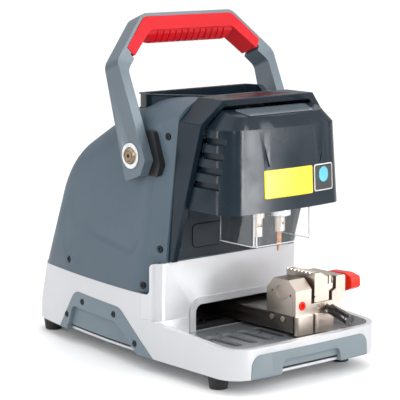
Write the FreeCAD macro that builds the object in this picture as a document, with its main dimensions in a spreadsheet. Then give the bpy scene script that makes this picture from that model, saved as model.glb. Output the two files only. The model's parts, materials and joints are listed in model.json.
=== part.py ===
"""Key duplicating machine, modelled as a parametric FreeCAD document.

Millimetres.  +Z is up, -Y is the front, +X is the right-hand side seen from the front.
The origin lies on the surface that the machine stands on, under the middle of the machine.
"""
import FreeCAD
import Part
import math
import os
import re
import Sketcher

V = FreeCAD.Vector
X_AXIS = V(1, 0, 0)
Y_AXIS = V(0, 1, 0)
Z_AXIS = V(0, 0, 1)

# Driving dimensions: alias, value in millimetres (or degrees), what it is.
DIMENSIONS = [
    # casing
    ("base_half", 112, "half the width of the base"),
    ("base_front", -207.5, "front of the base"),
    ("base_rear", 207.5, "rear of the base"),
    ("base_bottom", 17.5, "underside of the base, on its feet"),
    ("skin", 3, "wall thickness of the moulded casing"),
    ("front_bow", 2, "how far the front face bows out"),
    ("front_corner", 28, "corner radius of the base at the front"),
    ("taper_start", -47.5, "where the sides start to close in"),
    ("taper_mid", 67.5, "a place half way along the side curve"),
    ("taper_mid_half", 104.3, "half width there"),
    ("taper_end", 175.1, "end of the side curve"),
    ("taper_end_half", 87.5, "half width there"),
    ("rear_corner", 40, "corner radius at the rear"),
    ("seam_rear", 190, "rear of the casing at the seam"),
    ("back_y", 136, "top of the steep part of the back, front to back"),
    ("back_z", 226.5, "top of the steep part of the back, height"),
    ("trim_deep", 7, "thickness of the side trims"),
    ("flange", 10, "width of the flange under the base"),
    ("wall_front", -70.5, "front face of the column"),
    ("wall_half", 110, "half width of the column's front wall"),
    ("wall_corner", 14, "corner radius of the column's front wall"),
    ("wall_top", 124.5, "top of the column's front wall"),
    ("seam", 88.6, "seam between the base and the side panels"),
    ("seam_step", -59.5, "where the seam steps up to the top of the front wall"),
    ("seam_corner", 6, "rounding of the seam's step"),
    ("rim_rear", 59, "height of the apron's rim at the column"),
    ("rim_front", 50.5, "height of the apron's rim at the front"),
    ("rim_wide", 7.5, "width of the apron's rim"),
    ("tray_floor", 37, "floor under the chip tray"),
    ("tray_top", 40.4, "top of the chip tray"),
    ("opening_left", -53, "left end of the opening for the table"),
    ("opening_right", 78, "right end of the opening for the table"),
    ("opening_low", 40.6, "bottom of the opening"),
    ("opening_high", 71.5, "top of the opening"),
    ("lip", 8, "width of the raised lip around the opening"),
    ("lip_proud", 2.5, "how far that lip stands out"),
    # upper body
    ("body_top", 308, "top of the upper body"),
    ("cover_low", 293, "underside of the top cover"),
    ("front_lean", 0.12, "lean of the side panels' front edge"),
    ("draft", 0.0657, "how far each side leans in for each millimetre of height"),
    ("cheek_deep", 32, "length of the panels' cheeks, which draw in to the hood"),
    ("shoulder", 44, "rounding between the sides and the top"),
    ("back_radius", 115, "radius of the curved back"),
    ("brow_radius", 120, "radius between the top and the sloping back"),
    ("cover_half", 72, "half width of the rear cover"),
    ("hood_half", 92, "half width of the hood"),
    ("hood_top_half", 66.5, "half width of the hood's flat top"),
    ("hood_top", 310, "top of the hood"),
    ("hood_skin", 8, "wall thickness of the hood"),
    ("hood_lean", 0.305, "forward lean of the hood's front edge"),
    ("hood_front_low", -79, "hood's front edge at its bottom"),
    # head
    ("head_half", 83, "half width of the head cover under its top band"),
    ("head_low_half", 87, "half width of the head cover at its bottom"),
    ("head_rise", 0.26, "rise of the head cover's top towards the rear"),
    ("head_bottom", 188, "bottom of the head cover"),
    ("head_front", -172, "front of the head cover"),
    ("head_band", 279, "bottom of the sloping band round the head's top"),
    ("head_band_top", 291.5, "top of that band at the front"),
    ("visor_half", 44, "half width of the clear guard"),
    ("visor_bottom", 149, "bottom of the clear guard"),
    ("visor_front", -161, "front of the clear guard"),
    ("visor_skin", 2.5, "thickness of the clear guard"),
    # handle
    ("pivot_y", -36.3, "handle pivot, front to back"),
    ("pivot_z", 243.7, "handle pivot, height"),
    ("handle_lean", 20.2, "how far the handle leans back"),
    ("arm_outer", 117, "outer face of the handle's arms"),
    ("arm_thick", 12.3, "thickness of the arms"),
    ("arm_front", 22, "front of the arms at the pivot"),
    ("arm_rear", 17.7, "rear of the arms at the pivot"),
    ("arm_front_high", 14.9, "front of the arms at the bend"),
    ("arm_rear_high", 10.5, "rear of the arms at the bend"),
    ("arm_tail", 25, "length of the arms below the pivot"),
    ("bend_low", 106, "lower bend of the handle, from the pivot"),
    ("handle_reach", 158.5, "top of the handle, from the pivot"),
    ("bar_half", 67, "half length of the handle's top bar"),
    ("bar_thick", 4.2, "thickness of the bar above the grip"),
    ("grip_low", 127, "underside of the grip, from the pivot"),
    ("grip_face", 138, "bottom of the grip's front face, from the pivot"),
    ("pivot_radius", 5, "radius of the pivot bolts"),
    ("bolt_head", 10, "radius of the pivot bolts' heads"),
    ("washer_radius", 14.5, "radius of the pivot washers"),
    ("pad_outer", 104.4, "outer face of the hinge pads"),
    # feed stage
    ("rail_radius", 5, "radius of the lower rails"),
    ("rail_height", 34, "height of the lower rails"),
    ("rail_half", 62, "half distance between the lower rails"),
    ("rail_front", -56, "front end of the lower rails"),
    ("rail_rear", 158, "rear end of the lower rails"),
    ("beam_front", -58, "front beam of the stage"),
    ("beam_rear", 147, "rear beam of the stage"),
    ("beam_thick", 9, "thickness of the stage's beams"),
    ("beam_top", 43, "top of the stage's beams"),
    ("saddle_left", -87, "left end of the saddle"),
    ("saddle_right", 87, "right end of the saddle"),
    ("saddle_middle", 47.5, "middle of the saddle, front to back"),
    ("saddle_deep", 80, "saddle, front to back"),
    ("saddle_low", 25, "underside of the saddle"),
    ("saddle_high", 41, "top of the saddle's plate"),
    ("cross_radius", 4, "radius of the cross rails"),
    ("cross_height", 55, "height of the cross rails"),
    ("cross_half", 25, "half distance between the cross rails"),
    ("screw_radius", 4, "radius of the lead screws"),
    ("running", 0.06, "running clearance of rails and screws"),
    ("motor_size", 28, "side of the square stepper motors"),
    ("motor_long", 25, "length of the stepper motors"),
    # table and clamp
    ("table_left", 10, "left side of the table"),
    ("table_right", 68, "right side of the table"),
    ("table_low", 45, "underside of the table"),
    ("table_high", 65, "top of the table"),
    ("table_front", -166, "front end of the table"),
    ("table_rear", 85, "rear end of the table"),
    ("clamp_front", -170, "front face of the clamp"),
    ("clamp_rear", -122.5, "rear face of the clamp"),
    ("clamp_right", 87, "right face of the clamp"),
    ("clamp_high", 105, "top of the clamp"),
    ("anvil_right", 34, "right face of the clamp's fixed block"),
    ("sole", 12, "thickness of the clamp's sole"),
    ("clamp_axis_y", -146, "clamp screw, front to back"),
    ("clamp_axis_z", 91, "clamp screw, height"),
    ("lever_droop", 15, "how far the locking lever droops"),
    # spindle and probe
    ("tool_y", -134.5, "cutter and probe, front to back"),
    ("tool_half", 15.6, "half distance between cutter and probe"),
    ("cutter_tip", 135, "tip of the cutter"),
    ("cutter_radius", 3, "radius of the cutter's shank"),
    ("collet_low", 158, "bottom of the collet nut"),
    ("collet_radius", 6.6, "radius of the collet nut"),
    ("quill_low", 176, "bottom of the spindle housing"),
    ("quill_radius", 13, "radius of the spindle housing"),
    ("probe_low", 155, "bottom of the probe's sleeve"),
    ("probe_tip_low", 141, "tip of the probe"),
    ("slide_y", -84, "vertical rails, front to back"),
    ("slide_half", 48, "half distance between the vertical rails"),
    ("shelf_low", 190, "lower shelf of the column frame"),
    ("shelf_high", 258, "upper shelf of the column frame"),
    ("shelf_thick", 7, "thickness of the shelves"),
    ("carriage_low", 222, "underside of the spindle carriage"),
    ("carriage_high", 242, "top of the spindle carriage"),
    # fittings
    ("foot_front_x", 92.3, "front feet, from the middle"),
    ("foot_front_y", -157.5, "front feet, front to back"),
    ("foot_rear_x", 67.1, "rear feet, from the middle"),
    ("foot_rear_y", 184.5, "rear feet, front to back"),
    ("foot_top_radius", 12.5, "radius of a foot at the top"),
    ("foot_low_radius", 10, "radius of a foot on the floor"),
    ("case_screw", 3.4, "radius of the case screws' heads"),
    ("fan_size", 60, "side of the fan"),
    ("fan_deep", 15, "thickness of the fan"),
]

doc = FreeCAD.newDocument("key_duplicating_machine")
sheet = doc.addObject("Spreadsheet::Sheet", "sizes")
for row, (alias, value, meaning) in enumerate(DIMENSIONS, start=1):
    sheet.set(f"A{row}", meaning)
    sheet.set(f"B{row}", str(value))
    sheet.setAlias(f"B{row}", alias)
doc.recompute()

SIZE = {alias: float(value) for alias, value, meaning in DIMENSIONS}
nodes = []


# ---------------------------------------------------------------- helpers
def formula(text):
    """The expression that reads every name in the text from the sheet."""
    return re.sub(r"[a-z][a-z_]*", lambda name: "sizes." + name.group(), str(text))


def number(text):
    """The value of a formula, worked out from the driving dimensions."""
    total = doc.getObject("sizes").evalExpression(formula(text))
    return float(getattr(total, "Value", total))


def bind(part, **sizes):
    """Bind properties of an object to formulas."""
    for name, text in sizes.items():
        part.setExpression(name, formula(text))


def place(part, x, y, z, rotation=None):
    """Bind a part's position to formulas, after turning it."""
    if rotation is not None:
        part.Placement = FreeCAD.Placement(V(0, 0, 0), rotation)
    part.setExpression("Placement.Base.x", formula(x))
    part.setExpression("Placement.Base.y", formula(y))
    part.setExpression("Placement.Base.z", formula(z))


def block(name, span_x, span_y, span_z):
    """A box between two formulas along each axis."""
    part = doc.addObject("Part::Box", name)
    bind(part, Length=f"({span_x[1]}) - ({span_x[0]})",
         Width=f"({span_y[1]}) - ({span_y[0]})",
         Height=f"({span_z[1]}) - ({span_z[0]})")
    place(part, span_x[0], span_y[0], span_z[0])
    return part


def rod(name, axis, start, length, radius, tip_radius=None):
    """A cylinder, or a cone where a second radius is given, from start along X, Y or Z."""
    turn = {"X": FreeCAD.Rotation(Y_AXIS, 90), "Y": FreeCAD.Rotation(X_AXIS, -90),
            "Z": FreeCAD.Rotation()}[axis]
    if tip_radius is None:
        part = doc.addObject("Part::Cylinder", name)
        bind(part, Radius=radius, Height=length)
    else:
        part = doc.addObject("Part::Cone", name)
        bind(part, Radius1=radius, Radius2=tip_radius, Height=length)
    place(part, *start, rotation=turn)
    return part


def fuse(name, *parts):
    """Several objects joined into one."""
    joined = doc.addObject("Part::MultiFuse", name)
    joined.Shapes = list(parts)
    joined.Refine = True
    return joined


def cut(name, base, *tools):
    """An object with others taken away from it."""
    for index, tool in enumerate(tools, start=1):
        result = doc.addObject("Part::Cut", name if index == len(tools) else f"{name}_cut{index}")
        result.Base = base
        result.Tool = tool
        base = result
    return base


def group(name, *parts):
    """Separate solids that share one node."""
    together = doc.addObject("Part::Compound", name)
    together.Links = list(parts)
    return together


def chamfer(name, part, width, wanted):
    """Bevel the edges of a part that the wanted test picks."""
    doc.recompute()
    picked = [index for index, edge in enumerate(part.Shape.Edges, start=1) if wanted(edge)]
    bevel = doc.addObject("Part::Chamfer", name)
    bevel.Base = part
    bevel.Edges = [(index, width, width) for index in picked]
    return bevel


def fillet(name, part, radius, wanted):
    """Round the edges of a part that the wanted test picks."""
    doc.recompute()
    picked = [index for index, edge in enumerate(part.Shape.Edges, start=1) if wanted(edge)]
    rounded = doc.addObject("Part::Fillet", name)
    rounded.Base = part
    rounded.Edges = [(index, radius, radius) for index in picked]
    return rounded


def along(axis):
    """A test for straight edges that run along an axis."""
    def wanted(edge):
        if not isinstance(edge.Curve, Part.Line):
            return False
        return abs(abs(edge.Curve.Direction.dot(axis)) - 1) < 1e-6
    return wanted


def node(label, part):
    """Keep an object as a node of the assembly."""
    part.Label = label
    nodes.append(part)
    return part


def feature(label, shape):
    """A node whose shape is worked out from the sheet's sizes here."""
    part = doc.addObject("Part::Feature", label)
    part.Shape = shape
    part.Placement = shape.Placement
    return node(label, part)


def rounded_edges(corners):
    """Lines and tangent arcs through corners, each given as (u, v, radius)."""
    count = len(corners)
    ends = []
    for index, (u, v, radius) in enumerate(corners):
        here = V(u, v, 0)
        before = V(*corners[index - 1][:2], 0)
        after = V(*corners[(index + 1) % count][:2], 0)
        if not radius:
            ends.append((here, None, here))
            continue
        back = (before - here).normalize()
        on = (after - here).normalize()
        half = back.getAngle(on) / 2
        reach = radius / math.tan(half)
        middle = here + (back + on).normalize() * (radius / math.sin(half) - radius)
        ends.append((here + back * reach, middle, here + on * reach))
    curves = []
    for index, (start, middle, end) in enumerate(ends):
        if middle is not None:
            curves.append(Part.Arc(start, middle, end))
        following = ends[(index + 1) % count][0]
        if end.distanceToPoint(following) > 1e-6:
            curves.append(Part.LineSegment(end, following))
    return curves


PLANES = {"Z": lambda u, v: V(u, v, 0), "Y": lambda u, v: V(u, 0, v), "X": lambda u, v: V(0, u, v)}


def prism(axis, corners, low, high):
    """A solid of a rounded outline, from low to high along an axis."""
    wire = Part.Wire([curve.toShape() for curve in rounded_edges(corners)])
    turned = {"Z": FreeCAD.Rotation(),
              "Y": FreeCAD.Rotation(X_AXIS, 90),
              "X": FreeCAD.Rotation(V(1, 1, 1), 120)}[axis]
    direction = {"Z": Z_AXIS, "Y": Y_AXIS, "X": X_AXIS}[axis]
    wire.Placement = FreeCAD.Placement(direction * low, turned)
    return Part.Face(wire).extrude(direction * (high - low))


def padded(label, axis, corners, low, length, pockets=()):
    """A body padded from a sketch of a rounded outline, with optional pockets."""
    body = doc.addObject("PartDesign::Body", label)
    role = {"Z": "XY_Plane", "Y": "XZ_Plane", "X": "YZ_Plane"}[axis]
    plane = next(item for item in body.Origin.OriginFeatures if item.Role == role)
    side = -1 if axis == "Y" else 1

    def sketched(name, outline, height):
        sketch = body.newObject("Sketcher::SketchObject", f"{label}_{name}")
        sketch.AttachmentSupport = [(plane, "")]
        sketch.MapMode = "FlatFace"
        sketch.setExpression("AttachmentOffset.Base.z", formula(f"{side} * ({height})"))
        for curve in outline:
            sketch.addGeometry(curve, False)
        return sketch

    pad = body.newObject("PartDesign::Pad", f"{label}_pad")
    pad.Profile = sketched("outline", rounded_edges(corners), low)
    bind(pad, Length=length)
    pad.Reversed = axis == "Y"
    for index, (outline, depth) in enumerate(pockets, start=1):
        pocket = body.newObject("PartDesign::Pocket", f"{label}_pocket{index}")
        pocket.Profile = sketched(f"hole{index}", outline, f"({low}) + ({length})")
        bind(pocket, Length=depth)
        pocket.Reversed = axis == "Y"
    return body


def mirrored(shape):
    """The same shape on the other side of the machine."""
    return shape.mirror(V(0, 0, 0), X_AXIS)


def big_box(low, high):
    """A solid box between two corners."""
    return Part.makeBox(*[b - a for a, b in zip(low, high)], V(*low))


FAR = 600


# ---------------------------------------------------------------- casing shapes
def side_curves(inset):
    """The right-hand side of the casing in plan, from the taper's start to the middle of the rear."""
    start = V(number("base_half") - inset, number("taper_start"), 0)
    middle = V(number("taper_mid_half") - inset, number("taper_mid"), 0)
    end = V(number("taper_end_half") - inset, number("taper_end"), 0)
    radius = number("rear_corner") - inset
    rear = number("base_rear") - inset
    centre = V(end.x - radius * math.cos(math.radians(11)), rear - radius, 0)
    corner_start = centre + V(radius * math.cos(math.radians(11)), radius * math.sin(math.radians(11)), 0)
    corner_mid = centre + V(radius * math.cos(math.radians(50.5)), radius * math.sin(math.radians(50.5)), 0)
    corner_end = V(centre.x, rear, 0)
    return [Part.Arc(start, middle, corner_start), Part.Arc(corner_start, corner_mid, corner_end),
            Part.LineSegment(corner_end, V(0, rear, 0))]


def plan_face(inset, front=None):
    """The casing in plan: the whole base, or only the column behind the given front."""
    side = side_curves(inset)
    start = side[0].StartPoint
    if front is None:
        radius = number("front_corner") - inset
        nose = number("base_front") + inset
        bow = number("front_bow")
        shoulder = V(start.x, nose + bow + radius, 0)
        corner = V(start.x - radius, nose + bow, 0)
        middle = V(corner.x + radius * math.sin(math.pi / 4),
                   shoulder.y - radius * math.cos(math.pi / 4), 0)
        side.insert(0, Part.LineSegment(shoulder, start))
        side.insert(0, Part.Arc(corner, middle, shoulder))
        sweep = Part.Arc(V(-corner.x, corner.y, 0), V(0, nose, 0), corner)
        right = [curve.toShape() for curve in side]
        left = [edge.mirror(V(0, 0, 0), X_AXIS) for edge in right]
        edges = [sweep.toShape()] + right + left
    else:
        radius = max(number("wall_corner") - inset, 1)
        edge_x = number("wall_half") - inset
        nose = front + inset
        shoulder = V(edge_x, nose + radius, 0)
        corner = V(edge_x - radius, nose, 0)
        middle = V(corner.x + radius * math.sin(math.pi / 4),
                   shoulder.y - radius * math.cos(math.pi / 4), 0)
        side.insert(0, Part.LineSegment(shoulder, start))
        side.insert(0, Part.Arc(corner, middle, shoulder))
        right = [curve.toShape() for curve in side]
        left = [edge.mirror(V(0, 0, 0), X_AXIS) for edge in right]
        sweep = Part.LineSegment(V(-corner.x, nose, 0), corner)
        edges = [sweep.toShape()] + right + left
    return Part.Face(Part.Wire(Part.__sortEdges__(edges)))


def standing(face, low, high):
    """A plan outline raised from low to high."""
    raised = face.copy()
    raised.translate(V(0, 0, low))
    return raised.extrude(V(0, 0, high - low))


def rim_cutter():
    """Everything above the sloping top of the apron."""
    wall = number("wall_front")
    nose = number("base_front")
    rear = number("rim_rear")
    front = number("rim_front")
    return prism("X", [(wall, rear, 0), (wall, 200, 0), (nose - 20, 200, 0),
                       (nose - 20, front - 20 * (rear - front) / (wall - nose), 0)], -FAR / 2, FAR / 2)


def rear_slope(low):
    """How far the back comes forward for each millimetre of height: the base or the upper body."""
    if low:
        return (number("base_rear") - number("seam_rear")) / (number("seam") - number("base_bottom"))
    return (number("seam_rear") - number("back_y")) / (number("back_z") - number("seam"))


def before_rear(inset=0):
    """Everything in front of the leaning rear of the base, its corners rounded like the body above."""
    rear = number("seam_rear") - inset
    lean = rear_slope(True)
    turn = number("shoulder") - inset
    wide = number("taper_end_half") + 1 - inset
    taper = 0.19
    beside = wide + taper * (number("taper_end") - rear)
    forward = wide + taper * (number("taper_end") + FAR)
    outline = rounded_edges([(-forward, -FAR, 0), (forward, -FAR, 0), (beside, rear, turn),
                             (-beside, rear, turn)])
    plan = Part.Face(Part.Wire([curve.toShape() for curve in outline]))
    plan.translate(V(0, lean * 120, number("seam") - 120))
    return plan.extrude(V(0, -lean * 400, 400))


def rear_placement(height, outward=0.0):
    """A frame on the base's leaning rear: +Y points straight out of it."""
    angle = math.atan(rear_slope(True))
    y = number("base_rear") - rear_slope(True) * (height - number("base_bottom"))
    turn = FreeCAD.Rotation(X_AXIS, math.degrees(angle))
    return FreeCAD.Placement(V(0, y, height) + turn.multVec(V(0, outward, 0)), turn)


def above_seam(gap=0):
    """Everything above the seam between the base and the upper body."""
    seam = number("seam") + gap
    step = number("seam_step") + gap
    top = number("wall_top") + gap
    turn = number("seam_corner")
    return prism("X", [(FAR, seam, 0), (step, seam, turn), (step, top, turn + gap), (-FAR, top, 0),
                       (-FAR, FAR, 0), (FAR, FAR, 0)], -FAR / 2, FAR / 2)


def arch(outline, axis, low, high):
    """A trim outline taken through the casing."""
    return prism(axis, outline, low, high)


def front_outline(grow=0):
    """The front trim, seen from the front."""
    low = number("base_bottom") - 0.01
    return [(-87.5 - grow, low, 0), (-86 - grow, 43 + grow, 13), (86 + grow, 43 + grow, 13),
            (87.5 + grow, low, 0)]


def front_arch():
    """The arch in the front trim."""
    low = number("base_bottom") - 5
    return [(-46, low, 0), (-42, 33, 7), (42, 33, 7), (46, low, 0)]


def side_outline(grow=0):
    """A side trim, seen from the side."""
    low = number("base_bottom") - 0.01
    return [(-68.5 - grow, low, 0), (-5.5 - grow / 2, 65.5 + grow, 22), (92 + grow / 2, 68 + grow, 20),
            (131 + grow, low, 0)]


def side_arch():
    """The arch in a side trim."""
    low = number("base_bottom") - 5
    return [(-45.5, low, 0), (3, 47.5, 9), (98, 49, 9), (113.5, low, 0)]


def recess_block(grow=0):
    """The recess in the apron that holds the chip tray."""
    edge = number("base_half - rim_wide") - grow
    front = number("base_front + rim_wide + 0.5") + grow
    wall = number("wall_front") - 0.5 - grow
    turn = number("front_corner - rim_wide")
    return [(-edge, wall, 3), (-edge, front, turn), (edge, front, turn), (edge, wall, 3)]


def opening_outline(grow=0):
    """The opening in the column that the table runs through."""
    low = number("opening_low")
    return [(number("opening_left") - grow, low, 0),
            (number("opening_left") - grow, number("opening_high") + grow, 9 + grow),
            (number("opening_right") + grow, number("opening_high") + grow, 9 + grow),
            (number("opening_right") + grow, low, 0)]


def base_shell():
    """The white base: apron, column foot, lip and flange in one moulding."""
    low = number("base_bottom")
    skin = number("skin")
    wall = number("wall_front")
    apron = standing(plan_face(0), low, 60).cut(rim_cutter())
    column = standing(plan_face(0, wall), low, number("wall_top"))
    shell = apron.fuse(column).removeSplitter().cut(above_seam()).common(before_rear())
    hollow = standing(plan_face(skin), low + skin, number("tray_floor") - skin)
    upper = standing(plan_face(skin, wall), low + skin, FAR)
    inside = standing(plan_face(number("skin + flange")), low - 1, low + skin + 1)
    shell = shell.cut(hollow.fuse(upper).common(before_rear(skin)).fuse(inside.common(before_rear(10))))
    shell = shell.cut(prism("Z", recess_block(), number("tray_floor"), 100))
    lip = prism("Y", opening_outline(number("lip")), wall - number("lip_proud"), wall + 1)
    shell = shell.fuse(lip).cut(prism("Y", opening_outline(), wall - 10, wall + 10))
    shell = shell.cut(prism("Y", front_outline(0.15), -FAR / 2, number("base_front") + 6.65))
    for sign in (-1, 1):
        band = trim_band(0.15)
        half_space = big_box((0, -FAR, 0), (FAR, FAR, FAR)) if sign > 0 \
            else big_box((-FAR, -FAR, 0), (0, FAR, FAR))
        shell = shell.cut(prism("X", side_outline(0.15), -FAR / 2, FAR / 2).common(band).common(half_space))
    for low, high in (((-44.2, -5, -13.2), (-15.8, 5, 13.2)), ((-7.2, -5, -9.2), (14.2, 5, 9.2))):
        shell = shell.cut(placed(big_box(low, high), rear_placement(FITTING_HEIGHT)))
    feature("base_shell", shell.removeSplitter())


FITTING_HEIGHT = 58


def trim_band(grow=0):
    """The layer of the casing that the side trims fill."""
    low = number("base_bottom")
    outer = standing(plan_face(-0.5), low - 10, 120)
    inner = standing(plan_face(number("trim_deep") + grow), low - 11, 121)
    return outer.cut(inner)


def trims():
    """The three grey trims with their arches."""
    nose = number("base_front")
    low = number("base_bottom")
    front = prism("Y", front_outline(), nose - 1, nose + 6.5)
    front = front.common(standing(plan_face(-0.6), low, 60))
    front = front.cut(prism("Y", front_arch(), nose - 5, nose + 4.5))
    front = front.cut(prism("Y", [(-46, 0, 0), (46, 0, 0), (44, 23.5, 0), (-44, 23.5, 0)], nose - 5, FAR))
    feature("front_trim", front.removeSplitter())
    whole = prism("X", side_outline(), 0, FAR / 2).common(trim_band())
    hollow = standing(plan_face(4.5), 0, 100)
    cutter = prism("X", side_arch(), 0, FAR / 2)
    right = whole.cut(cutter.cut(hollow))
    low_slot = prism("X", [(-40, 0, 0), (-33, 23.5, 0), (111, 23.5, 0), (114, 0, 0)], 0, FAR / 2)
    right = right.cut(low_slot)
    for y, z in CASE_SCREWS_TRIM:
        seat = Part.makeCylinder(number("case_screw") + 0.5, 20, V(side_x(y, z) - 0.6, y, z), X_AXIS)
        right = right.cut(seat)
    right = right.removeSplitter()
    feature("side_trim_right", right)
    feature("side_trim_left", mirrored(right))


def base_fittings():
    """Base plate, feet and their screws."""
    low = number("base_bottom")
    plate = standing(plan_face(number("skin + flange") + 0.2), low, low + 2.5).common(before_rear(10.2))
    feature("base_plate", plate)
    feet = []
    screws = []
    for corner, (x, y) in enumerate([("foot_front_x", "foot_front_y"), ("-foot_front_x", "foot_front_y"),
                                     ("foot_rear_x", "foot_rear_y"), ("-foot_rear_x", "foot_rear_y")]):
        solid = rod(f"foot{corner}", "Z", (x, y, 0), "base_bottom", "foot_low_radius", "foot_top_radius")
        well = rod(f"foot_well{corner}", "Z", (x, y, -1), 8, 6)
        feet.append(cut(f"foot_solid{corner}", solid, well))
        screws.append(rod(f"foot_screw{corner}", "Z", (x, y, 3.5), 3.4, 5.6))
    node("feet", group("feet", *feet))
    node("foot_screws", group("foot_screws", *screws))


def chip_tray():
    """The removable tray on the apron, with six long drain recesses."""
    slots = []
    for index in range(6):
        x = (index - 2.5) * 23
        slots.append(([*rounded_edges([(x - 6.5, -154, 6.4), (x + 6.5, -154, 6.4), (x + 6.5, -99, 6.4),
                                       (x - 6.5, -99, 6.4)])], 2.4))
    tray = padded("chip_tray", "Z", recess_block(0.4), "tray_floor + 0.2", "tray_top - tray_floor - 0.2",
                  slots)
    node("chip_tray", tray)


# ---------------------------------------------------------------- upper body
def body_profile(inset):
    """The upper body seen from the side."""
    top = number("body_top") - inset
    lean = number("front_lean")
    seam = number("seam") - 30
    back = rear_slope(False)
    rear = number("seam_rear") - inset * 1.07
    front_low = number("wall_front") + inset
    front_high = front_low - lean * (top - number("wall_top"))
    high = number("back_z") - inset * 0.5
    return [(front_low + lean * (number("wall_top") - seam), seam, 0), (front_high, top, 0),
            (-21.6 - inset * 0.25, top, number("brow_radius") - inset),
            (rear - back * (high - number("seam")), high, number("back_radius") - inset),
            (rear + back * 30, seam, 0)]


def cheeks(inset):
    """The form that draws the side panels in to the hood towards their front edge."""
    lean = number("front_lean")
    wires = []
    for height in (number("seam") - 40, 400):
        hood = number("hood_half") + 1.4 - 0.0225 * (height - 200) - inset
        wide = number("base_half") + 0.3 - number("draft") * (height - number("seam")) - inset
        front = number("wall_front") - lean * (height - number("wall_top")) + inset * 0.8
        bend = front + number("cheek_deep")
        level = Part.Wire([curve.toShape() for curve in rounded_edges(
            [(-hood, front, 0), (hood, front, 0), (wide, bend, 60), (wide, 400, 0), (-wide, 400, 0),
             (-wide, bend, 60)])])
        level.translate(V(0, 0, height))
        wires.append(level)
    return Part.makeLoft(wires, True, True)


def drafted(inset):
    """The sides of the upper body, closing in towards the top."""
    wires = []
    for height in (number("seam") - 28, 400):
        level = plan_face(inset + number("draft") * (height - number("seam")), number("wall_front") - 60)
        level.translate(V(0, 0, height))
        wires.append(level.OuterWire)
    return Part.makeLoft(wires, True, True)


def envelope(inset):
    """The outer or inner form of the upper body."""
    form = drafted(inset).common(prism("X", body_profile(inset), -FAR / 2, FAR / 2))
    picked = []
    for edge in form.Edges:
        halfway = (edge.FirstParameter + edge.LastParameter) / 2
        middle = edge.valueAt(halfway)
        along_y = abs(edge.tangentAt(halfway).y) > 0.3
        if middle.z > number("seam") + 30 and abs(middle.x) > 60 and along_y:
            picked.append(edge)
    return form.makeFillet(number("shoulder") - inset, picked).common(cheeks(inset))


def rim_outline(grow=0):
    """The top cover's rim, seen from above."""
    turn = 12 + grow
    return [(-40 - grow * 0.7, -88 - grow, turn), (40 + grow * 0.7, -88 - grow, turn),
            (86 + grow, -28 - grow * 0.3, turn), (80 + grow, -6 + grow, turn / 2),
            (-80 - grow, -6 + grow, turn / 2), (-86 - grow, -28 - grow * 0.3, turn)]


def fan_placement(inward=0.0):
    """Where the fan lies: on the steep part of the back, its axis square to it."""
    slope = math.atan(rear_slope(False))
    outward = V(0, math.cos(slope), math.sin(slope))
    height = 142
    centre = V(0, number("seam_rear") - rear_slope(False) * (height - number("seam")), height)
    turn = FreeCAD.Rotation(Z_AXIS, outward)
    return FreeCAD.Placement(centre - outward * inward, turn)


def placed(shape, placement):
    """A copy of a shape at a placement."""
    copy = shape.copy()
    copy.Placement = placement.multiply(copy.Placement)
    return copy


def grille():
    """Rings and bars that guard the fan."""
    rings = [Part.makeCylinder(radius + 0.9, 1.6).cut(Part.makeCylinder(radius - 0.9, 3, V(0, 0, -1)))
             for radius in (8, 14, 20)]
    bars = [big_box((-27.4, -1, 0), (27.4, 1, 1.6)), big_box((-1, -27.4, 0), (1, 27.4, 1.6))]
    return rings[0].fuse(rings[1:] + bars).removeSplitter()


def upper_body():
    """Side panels, rear cover and top cover."""
    shell = OUTSIDE.cut(envelope(number("skin")))
    shell = shell.common(above_seam(0.2))
    shell = shell.cut(prism("Y", hood_section(number("hood_skin")), -200, -45))
    shell = shell.cut(prism("Z", rim_outline(0.3), 280, 400))
    half = number("cover_half")
    middle = big_box((-half - 0.15, -8, 0), (half + 0.15, FAR, FAR))
    right_space = big_box((0.15, -FAR, 0), (FAR, FAR, FAR))
    right = shell.common(right_space).cut(middle)
    holes = []
    for y, z in CASE_SCREWS_PANEL:
        holes.append(Part.makeCylinder(number("case_screw") + 0.8, 20, V(side_x(y, z) - 1.6, y, z), X_AXIS))
    pivot = Part.makeCylinder(number("pivot_radius") + 0.3, 60, V(80, number("pivot_y"), number("pivot_z")),
                              X_AXIS)
    for hole in holes + [pivot]:
        right = right.cut(hole)
    feature("side_panel_right", largest(right))
    feature("side_panel_left", mirrored(largest(right)))
    rear = shell.common(big_box((-half + 0.15, -7.85, 0), (half - 0.15, FAR, FAR)))
    window = placed(Part.makeCylinder(27, 30, V(0, 0, -15)), fan_placement())
    feature("rear_cover", largest(rear).cut(window).fuse(placed(grille(), fan_placement(2.3))))
    top = number("body_top")
    cover = prism("Z", rim_outline(), number("cover_low"), top + 1.5)
    lip = prism("Z", rim_outline(1.4), top + 0.05, top + 1.5)
    tray = prism("Z", rim_outline(-4), number("cover_low") + 3, 400)
    feature("top_cover", cover.fuse(lip).cut(tray).removeSplitter())


def largest(shape):
    """The biggest solid of a cut result."""
    return max(shape.Solids, key=lambda solid: solid.Volume)


CASE_SCREWS_PANEL = [(107.5, 103), (-44.5, 97), (-64.3, 140), (-75.2, 267)]
CASE_SCREWS_TRIM = [(112, 35.6), (74, 57.5), (6, 55.5), (-35.4, 29.2)]


def side_x(y, z):
    """Half width of the casing's outside at a place on its side."""
    if z > number("seam"):
        return OUTSIDE.common(Part.makeLine(V(0, y, z), V(300, y, z))).BoundBox.XMax
    return plan_face(0).common(Part.makeLine(V(0, y, 0), V(300, y, 0))).BoundBox.XMax


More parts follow.
